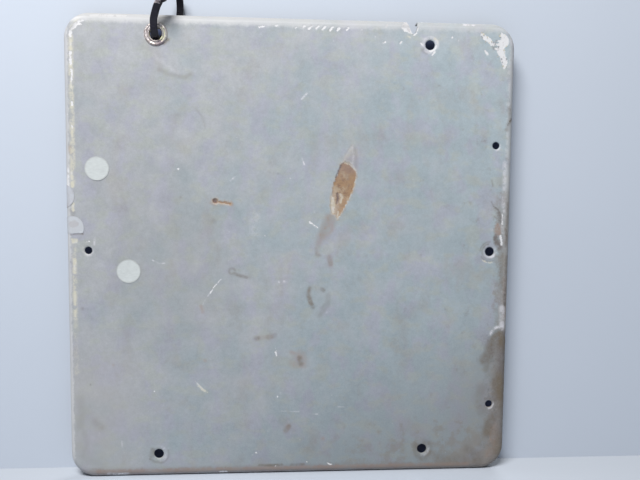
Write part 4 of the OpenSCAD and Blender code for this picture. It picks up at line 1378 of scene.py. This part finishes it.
def rounded_ring(half_x, half_y, radius):
    """A rounded rectangle's points, seven to a corner."""
    ring = []
    for sx, sy, start in ((1, 1, 0), (-1, 1, 90), (-1, -1, 180), (1, -1, 270)):
        for k in range(7):
            a = math.radians(start + 15 * k)
            ring.append((sx * (half_x - radius) + radius * math.cos(a),
                         sy * (half_y - radius) + radius * math.sin(a)))
    return ring


def head_mesh():
    """The locking head without its slot: a rounded block with sloping shoulders."""
    w, t, h = (v / 2 for v in HEAD_SIZE)
    levels = [(-h, 0.62, 0.42, 0.4), (-h + 0.25, 0.72, 0.55, 0.6), (-h + 1.1, 0.93, 0.86, 0.9),
              (-h + 1.9, 0.99, 0.98, 1.0), (-0.8, 1.0, 1.0, 0.9), (0.8, 1.0, 1.0, 0.9),
              (h - 1.4, 0.99, 0.99, 0.9), (h - 0.7, 0.95, 0.96, 0.9), (h - 0.2, 0.88, 0.89, 0.8),
              (h, 0.78, 0.80, 0.6)]
    points, rows = [], []
    for z, wide, deep, radius in levels:
        ring = rounded_ring(w * wide, t * deep, radius)
        rows.append(numbered(points, [head_frame(x, y, z) for x, y in ring]))
    return points, tube(rows)


def box_mesh(levels):
    """A block through rectangles (half x, half z, y) in the head's frame."""
    points, rows = [], []
    for half_x, half_z, y in levels:
        rows.append(numbered(points, [head_frame(x * half_x, y, z * half_z)
                                      for x, z in ((1, 1), (-1, 1), (-1, -1), (1, -1))]))
    return points, tube(rows)


def tooth_mesh():
    """A tooth that spans the strap's trough: a low wedge, steep on one side."""
    wedge = ((-0.5, 0.03), (0.5, 0.03), (0.42, -0.30), (0.22, -0.33))
    points = [(x, y, z) for y in (-1.62, 1.62) for x, z in wedge]
    return points, [(0, 1, 2, 3), (4, 5, 6, 7)] + strip([[0, 1, 2, 3], [4, 5, 6, 7]], True)


def tooth_places(look):
    """Where each tooth stands in the trough, with the ways along the strap and out of it."""
    pitch, places, last = look.tooth_pitch / MM, [], None
    for k in range(3 * TEETH_STEPS, (len(STRAP_PATH) - 1) * TEETH_STEPS - 12):
        mid, along, out, _ = strap_at(k / TEETH_STEPS)
        if last is None or np.linalg.norm(mid - last) >= pitch:
            places.append((mid - out * look.thickness / MM / 2 * 0.36, along, out))
            last = mid
    return np.array(places)


def row_of_teeth(tree, values):
    """A tooth on every point, turned by the ways that the points carry."""
    outward, along = (tree.node("GeometryNodeInputNamedAttribute", {"data_type": "FLOAT_VECTOR"}, {0: name})
                      for name in ("outward", "along"))
    turned = tree.node("FunctionNodeAlignRotationToVector", {"axis": "Z"}, {"Vector": outward})
    turned = tree.node("FunctionNodeAlignRotationToVector", {"axis": "X", "pivot_axis": "Z"},
                       {"Rotation": turned, "Vector": along})
    return planted(tree, values["Geometry"], values["Tooth"], Rotation=turned, Scale=values["Size"])


def nylon_finish(look):
    """Black nylon, moulded, with a bloom of dust, fine scratches along it and a pale pinkish painted
    highlight on the strap below the head.
    """
    f = Finish("black_nylon_gloss")
    fine, small = f.noise(0.5, 2), f.noise(2.4, 3)
    streak = f.noise(0.7, 2, place=f.stretched(1.0, 1.0, 0.12))
    dust = f.ramp(small + fine * 0.4, 0.05, 0.35)
    f.colour = f.mix(look.nylon, (0.035, 0.031, 0.050), dust * 0.6)
    x, y, z = f.part("X"), f.part("Y"), f.part("Z")
    # A pale pinkish painted highlight on the front of the strap just below the head.
    painted_highlight_patch = f.ramp(z + small * 6, 161.4, 161.9) * f.ramp(z, 165, 166, 1.0, 0.0)
    painted_highlight_patch = painted_highlight_patch * f.ramp(y, -2, -1, 1.0, 0.0) * f.ramp(x + small * 6, -87.2, -86.6, 1.0, 0.0)
    f.coat(f.mix((0.60, 0.56, 0.57), (0.42, 0.30, 0.27), f.ramp(fine, -0.05, 0.15)), painted_highlight_patch * 0.9)
    rough = 0.36 + dust * 0.25 + streak * 0.2
    return f.surface(Roughness=rough, Normal=f.bump(streak + fine * 0.6, 0.03), Specular_IOR_Level=0.35)


class TIE_OT_build(bpy.types.Operator):
    """Builds the cable tie: strap, locking head with its pawl, and the teeth inside the strap"""

    bl_idname = "sign_plate.build_tie"
    bl_label = "Cable Tie"

    def execute(self, context):
        look = context.scene.tie_look
        nylon = nylon_finish(look)
        strap = solid("tie_strap", *strap_mesh(look), nylon, 40)
        head = solid("tie_head", *head_mesh(), nylon, 40)
        w, h, t = look.width / MM / 2 + 0.3, look.thickness / MM / 2 + 0.25, HEAD_SIZE[1] / 2
        through = [(w + 0.5, h + 0.5, -t - 1), (w + 0.5, h + 0.5, -t + 0.1), (w, h, -t + 0.7),
                   (w, h, t - 0.5), (w + 0.3, h + 0.3, t - 0.1), (w + 0.3, h + 0.3, t + 1)]
        slot = solid("slot_cutter", *box_mesh(through), nylon)
        cut = head.modifiers.new("slot", "BOOLEAN")
        cut.operation, cut.solver, cut.object = "DIFFERENCE", "EXACT", slot
        soften(baked(head), 40)
        bpy.data.objects.remove(slot)
        wide = w - 0.7
        tongue = [(wide, 0.15, -t + 1.0), (wide, h, -t + 1.6), (wide, h + 0.1, t - 1.6),
                  (wide, 0.2, t - 1.0)]
        pawl = solid("tie_pawl", *box_mesh(tongue), nylon)

        tooth = solid("tooth_shape", *tooth_mesh(), nylon)
        places = tooth_places(look)
        teeth = solid("tie_teeth", places[:, 0], [], nylon)
        for column, name in ((1, "along"), (2, "outward")):
            stored = teeth.data.attributes.new(name, "FLOAT_VECTOR", "POINT")
            stored.data.foreach_set("vector", places[:, column].astype(np.float32).ravel())
        grow(teeth, "tooth_row", row_of_teeth, Tooth=("Object", tooth), Size=("Vector", (1.0, 1.0, 1.0)),
             Material=("Material", nylon))
        bpy.data.objects.remove(tooth)
        for piece in (strap, head, pawl, teeth):
            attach(piece, "loop")
        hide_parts("cable_tie")
        return {"FINISHED"}


# ---- seals ----

def round_the_rim(u, bend):
    """Where a length u in from the left bend lies: (x, y, way out x, way out y). Below 0 it goes round."""
    line = LEFT_X + bend
    if u >= 0:
        return line + u, FACE_Y, 0.0, -1.0
    angle = min(-u / bend, math.pi / 2)
    x, y = line - bend * math.sin(angle), FACE_Y + bend - bend * math.cos(angle)
    return x, y + max(0.0, -u - bend * math.pi / 2), -math.sin(angle), -math.cos(angle)


def seal_mesh(look, bend, middle_u, middle_z, tear, seed):
    """A paper disc that follows the face and the left bend. tear gives the height of a torn lower edge."""
    radius, thick = look.diameter / MM / 2, 0.2
    rings, count = 22, 96
    flats = [(0.0, 0.0)]
    angles = np.linspace(0, 2 * math.pi, count, endpoint=False)
    for k in range(1, rings + 1):
        r = radius * (k / rings) ** 0.8
        flats += [(r * math.cos(a), r * math.sin(a)) for a in angles]
    flats = np.array(flats)
    wavy = 1 + 0.010 * hash_noise(np.arange(len(flats)) % count / 4.0, flats[:, 0] * 0, 1.0, seed)
    flats *= wavy[:, None]
    if tear is not None:
        torn = tear + 0.35 * hash_noise(flats[:, 0], flats[:, 0] * 0, 1.1, seed) + 0.05 * flats[:, 0]
        flats[:, 1] = np.where(flats[:, 1] < torn, torn, flats[:, 1])
    far = np.hypot(*flats.T) / radius
    lift = look.curl / MM * np.clip((far - 0.8) / 0.2, 0, 1) ** 2
    lift = lift * (0.5 + 0.5 * hash_noise(*flats.T, 4.5, seed + 1))
    crease = 0.05 * hash_noise(flats[:, 0] + flats[:, 1] * 0.3, flats[:, 1], 5.0, seed + 2)
    points = []
    for level in (1, 0):
        for (u, v), up in zip(flats, thick * 0.75 + lift + abs(crease)):
            x, y, way_x, way_y = round_the_rim(middle_u + u, bend)
            off = up * level - 0.03
            points.append((x + way_x * off, y + way_y * off, middle_z + v))
    return points, double_disc(rings, count), {"rim": np.tile(far, 2)}


def paper_finish(look):
    """Aged coated paper: a mottled sheet with a soiled edge and pressed-in streaks."""
    f = Finish("aged_seal_paper")
    fine, small, broad = f.noise(0.7, 3), f.noise(2.6, 4, 0.6), f.noise(7, 3)
    fibre = f.noise(1.2, 2, place=f.stretched(0.35, 1.0, 1.4))
    x, z = f.part("X"), f.part("Z")
    f.colour = f.brighten(look.paper, 1.0 + small * 0.16 + fibre * 0.22 + broad * 0.20)
    soiled = f.ramp(f.attribute("rim") + small * 0.16 + broad * 0.1, 0.86, 1.02) * 0.5
    f.coat(look.dirt, soiled + f.ramp(broad + small * 0.5, 0.12, 0.4) * 0.22)
    grubby = f.attribute("grubby")
    f.coat((0.50, 0.52, 0.58), grubby * 0.75)
    smudge = f.ramp((x + 147.5) ** 2 * 0.5 + (z - 17.5) ** 2 + small * 14, 2, 9, 1.0, 0.0)
    lower = f.ramp(z + small * 14, 29, 33, 1.0, 0.0) * f.ramp(z, 25, 26)
    f.coat((0.40, 0.365, 0.365), (grubby * (0.10 + small * 0.9)).most(smudge * 0.45).most(lower * 0.6))
    height = fibre * 1.0 + fine * 0.5 + small * 0.8
    return f.surface(Roughness=0.55 + small * 0.2, Normal=f.bump(height, 0.04))


class SEAL_OT_build(bpy.types.Operator):
    """Builds the four round paper seals, two of them over the left edge"""

    bl_idname = "sign_plate.build_seals"
    bl_label = "Paper Seals"

    def execute(self, context):
        look = context.scene.seal_look
        bend = context.scene.plate_look.bend_radius / MM
        paper = paper_finish(look)
        radius = look.diameter / MM / 2
        for seed, node in enumerate(("seal_upper", "seal_lower", "seal_edge", "seal_wrapped"), start=31):
            low, high = node_box(node)
            tear = None
            if node == "seal_edge":
                tear = low[2] - (high[2] - radius)
            middle_u = high[0] - radius - (LEFT_X + bend)
            points, faces, values = seal_mesh(look, bend, middle_u, high[2] - radius, tear, seed)
            values["grubby"] = np.full(len(points), {"seal_edge": 0.8, "seal_wrapped": 1.0}.get(node, 0.0))
            piece = solid(node + "_paper", points, faces, paper, 50, values)
            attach(piece, "plate")
            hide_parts(node)
        return {"FINISHED"}


# ---- paint flakes ----

def scattered_flakes(tree, values):
    """A curled flake on every point, turned, tilted and sized at random with a fixed seed."""
    turn = tree.node("FunctionNodeRandomValue", {"data_type": "FLOAT_VECTOR"},
                     {"Min": (-0.16, 0.0, -0.16), "Max": (0.16, 6.28, 0.16), "Seed": values["Seed"]})
    size = tree.node("FunctionNodeRandomValue", {"data_type": "FLOAT"},
                     {2: 0.55, 3: 1.25, "Seed": values["Seed"]}, out=1)
    return planted(tree, values["Geometry"], values["Flake"], Rotation=turn, Scale=size)


def flake_mesh():
    """A curled chip of paint, about a millimetre long, that lies in the XZ plane and lifts towards -Y."""
    outline = [(-0.62, -0.2), (-0.25, -0.42), (0.3, -0.36), (0.66, -0.05), (0.4, 0.34), (-0.1, 0.44),
               (-0.5, 0.22)]
    points = [(0.0, -0.07, 0.0)]
    for scale, lift in ((0.55, -0.09), (1.0, -0.24)):
        points += [(x * scale, lift - 0.12 * max(0, x) * scale, z * scale) for x, z in outline]
    points += [(x, y + 0.07, z) for x, y, z in points]
    return points, double_disc(2, len(outline))


def flake_places():
    """Places scattered along the edges of the two bare patches in the right corner."""
    rng = np.random.default_rng(19)
    places = []
    for _, outline in WHITE[:2]:
        for (ax, az), (bx, bz) in zip(outline, outline[1:] + outline[:1]):
            for _ in range(int(math.dist((ax, az), (bx, bz)) / 4.5) + 1):
                t, side = rng.random(), rng.normal(0, 0.35)
                places.append((ax + t * (bx - ax) + side, FACE_Y + 0.10, az + t * (bz - az) + side))
    return [place for place in places if abs(place[0]) < 146 and abs(place[2]) < 151]


def flake_finish(look):
    """Grey or white chips of paint."""
    f = Finish("loose_paint")
    f.colour = f.mix(look.warm, look.cream, f.ramp(f.noise(4, 1), -0.05, 0.05))
    f.shade(1.0 + f.noise(1, 2) * 0.2)
    return f.surface(Roughness=0.5 + f.noise(0.8, 2) * 0.2, Normal=f.bump(f.noise(0.6, 2), 0.02))


class FLAKE_OT_build(bpy.types.Operator):
    """Builds loose paint flakes along the edges of the bare patches"""

    bl_idname = "sign_plate.build_flakes"
    bl_label = "Paint Flakes"

    def execute(self, context):
        paint = flake_finish(context.scene.plate_look)
        flakes = solid("paint_flakes", flake_places(), [], paint)
        shape = solid("flake_shape", *flake_mesh(), paint)
        grow(flakes, "flake_scatter", scattered_flakes, Flake=("Object", shape), Seed=("Int", 5),
             Material=("Material", paint))
        bpy.data.objects.remove(shape)
        soften(flakes, 30)
        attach(flakes, "plate")
        return {"FINISHED"}


# ---- stage ----

WALL_Y = 0.0165         # how far the backdrop stands behind the sheet
REACH = 4.0             # half the width of the floor and the backdrop
CAMERA_PLACE = (-0.0115, -0.4265, 0.0377)
CAMERA_TURN = (85.98, -0.52, -3.96)
CAMERA_LENS = 34.875


def hole_shade(f):
    """1 on the wall straight behind each hole, wider towards the floor, where less light gets in."""
    x, z = f.part("X"), f.part("Z")
    shade = 0.0
    for hole_x, hole_z, radius, _ in plate_holes():
        reach = radius + 7.3 - 0.0105 * hole_z
        shade = f.ramp(away_from(x, z, hole_x, hole_z), reach, reach + 1.0, 1.0, 0.0).most(shade)
    return shade


def matt_finish(name, colour, is_wall):
    """A pale matt surface. The wall is shaded behind the holes, and shows only from its front."""
    f = Finish(name)
    f.colour = f.brighten(tuple(colour), 1.0 + f.noise(180, 2) * 0.04)
    if is_wall:
        f.coat((0.085, 0.105, 0.190), hole_shade(f))
    matt = f.node("ShaderNodeBsdfDiffuse", None, {"Color": f.colour, "Roughness": 0.0})
    if is_wall:
        shown = f.shown_rays() * (1 - f.node("ShaderNodeNewGeometry", out="Backfacing"))
        clear = f.node("ShaderNodeBsdfTransparent")
        matt = f.node("ShaderNodeMixShader", None, {0: shown, 1: clear, 2: matt})
    return f.output(matt)


def stage_sheet(name, corners, material):
    """A four-cornered sheet that isn't part of the object."""
    mesh = bpy.data.meshes.new(name)
    mesh.from_pydata(corners, [], [(0, 1, 2, 3)])
    mesh.materials.append(material)
    link(bpy.data.objects.new(name, mesh))


def lamp(name, place, size, power, colour):
    """A soft rectangular light that looks at the plate's middle."""
    data = bpy.data.lights.new(name, "AREA")
    data.shape, data.size, data.size_y = "RECTANGLE", *size
    data.energy, data.color = power, colour
    obj = link(bpy.data.objects.new(name, data))
    obj.location = place
    obj.rotation_euler = (-Vector(place)).to_track_quat("-Z", "Y").to_euler()


def light_room(world, look):
    """Even light from all round, with the backdrop's colour where the room itself shows."""
    world.use_nodes = True
    sky = Tree(world.node_tree)
    soft = sky.node("ShaderNodeBackground", None, {"Color": (0.93, 0.96, 1.0, 1.0), "Strength": look.sky})
    plain = sky.node("ShaderNodeBackground", None, {"Color": opaque(look.backdrop), "Strength": 1.0})
    both = sky.node("ShaderNodeMixShader", None, {0: sky.shown_rays(), 1: soft, 2: plain})
    sky.node("ShaderNodeOutputWorld", None, {"Surface": both})


class STAGE_OT_build(bpy.types.Operator):
    """Builds the floor, the backdrop, the lights and the camera"""

    bl_idname = "sign_plate.build_stage"
    bl_label = "Stage"

    def execute(self, context):
        look = context.scene.stage_look
        scene = context.scene
        low, far = float(PLATE_LOW[2]) * MM, REACH
        stage_sheet("floor", [(-far, -far, low), (far, -far, low), (far, far, low), (-far, far, low)],
                    matt_finish("pale_floor", look.backdrop, False))
        wall = [(-far, WALL_Y, low), (far, WALL_Y, low), (far, WALL_Y, far), (-far, WALL_Y, far)]
        stage_sheet("backdrop", wall, matt_finish("pale_backdrop", look.backdrop, True))
        scene.world = bpy.data.worlds.new("room")
        light_room(scene.world, look)
        lamp("key", (-0.26, -0.62, 0.85), (0.50, 0.40), look.key, (1.0, 0.985, 0.97))
        lamp("rear", (0.7, 1.1, 0.9), (0.9, 0.7), look.rear, (1.0, 0.99, 0.97))

        data = bpy.data.cameras.new("camera")
        data.lens, data.sensor_width = CAMERA_LENS, 36.0
        data.clip_start, data.clip_end = 0.01, 20.0
        camera = link(bpy.data.objects.new("camera", data))
        camera.location = CAMERA_PLACE
        camera.rotation_euler = tuple(math.radians(angle) for angle in CAMERA_TURN)
        scene.camera = camera
        scene.view_settings.view_transform = "Standard"
        return {"FINISHED"}


# ---- panel and run ----

OPERATORS = (STAGE_OT_build, PLATE_OT_build, EYELET_OT_build, TIE_OT_build, SEAL_OT_build, FLAKE_OT_build)
LOOKS = {"plate_look": PlateLook, "eyelet_look": EyeletLook, "tie_look": TieLook, "seal_look": SealLook,
         "stage_look": StageLook}


class PLATE_PT_panel(bpy.types.Panel):
    """Lists the pieces that can be built"""

    bl_idname = "PLATE_PT_panel"
    bl_label = "Sign Plate"
    bl_space_type = "VIEW_3D"
    bl_region_type = "UI"
    bl_category = "Sign Plate"

    def draw(self, context):
        for operator in OPERATORS:
            self.layout.operator(operator.bl_idname)
        for name in LOOKS:
            box = self.layout.box()
            look = getattr(context.scene, name)
            for key in type(look).__annotations__:
                box.prop(look, key)


CLASSES = (*LOOKS.values(), *OPERATORS, PLATE_PT_panel)


def register():
    for item in CLASSES:
        bpy.utils.register_class(item)
    for name, group in LOOKS.items():
        setattr(bpy.types.Scene, name, PointerProperty(type=group))


def unregister():
    for name in LOOKS:
        delattr(bpy.types.Scene, name)
    for item in reversed(CLASSES):
        bpy.utils.unregister_class(item)


def main():
    register()
    for operator in OPERATORS:
        group, name = operator.bl_idname.split(".")
        getattr(getattr(bpy.ops, group), name)()


if __name__ == "__main__":
    main()
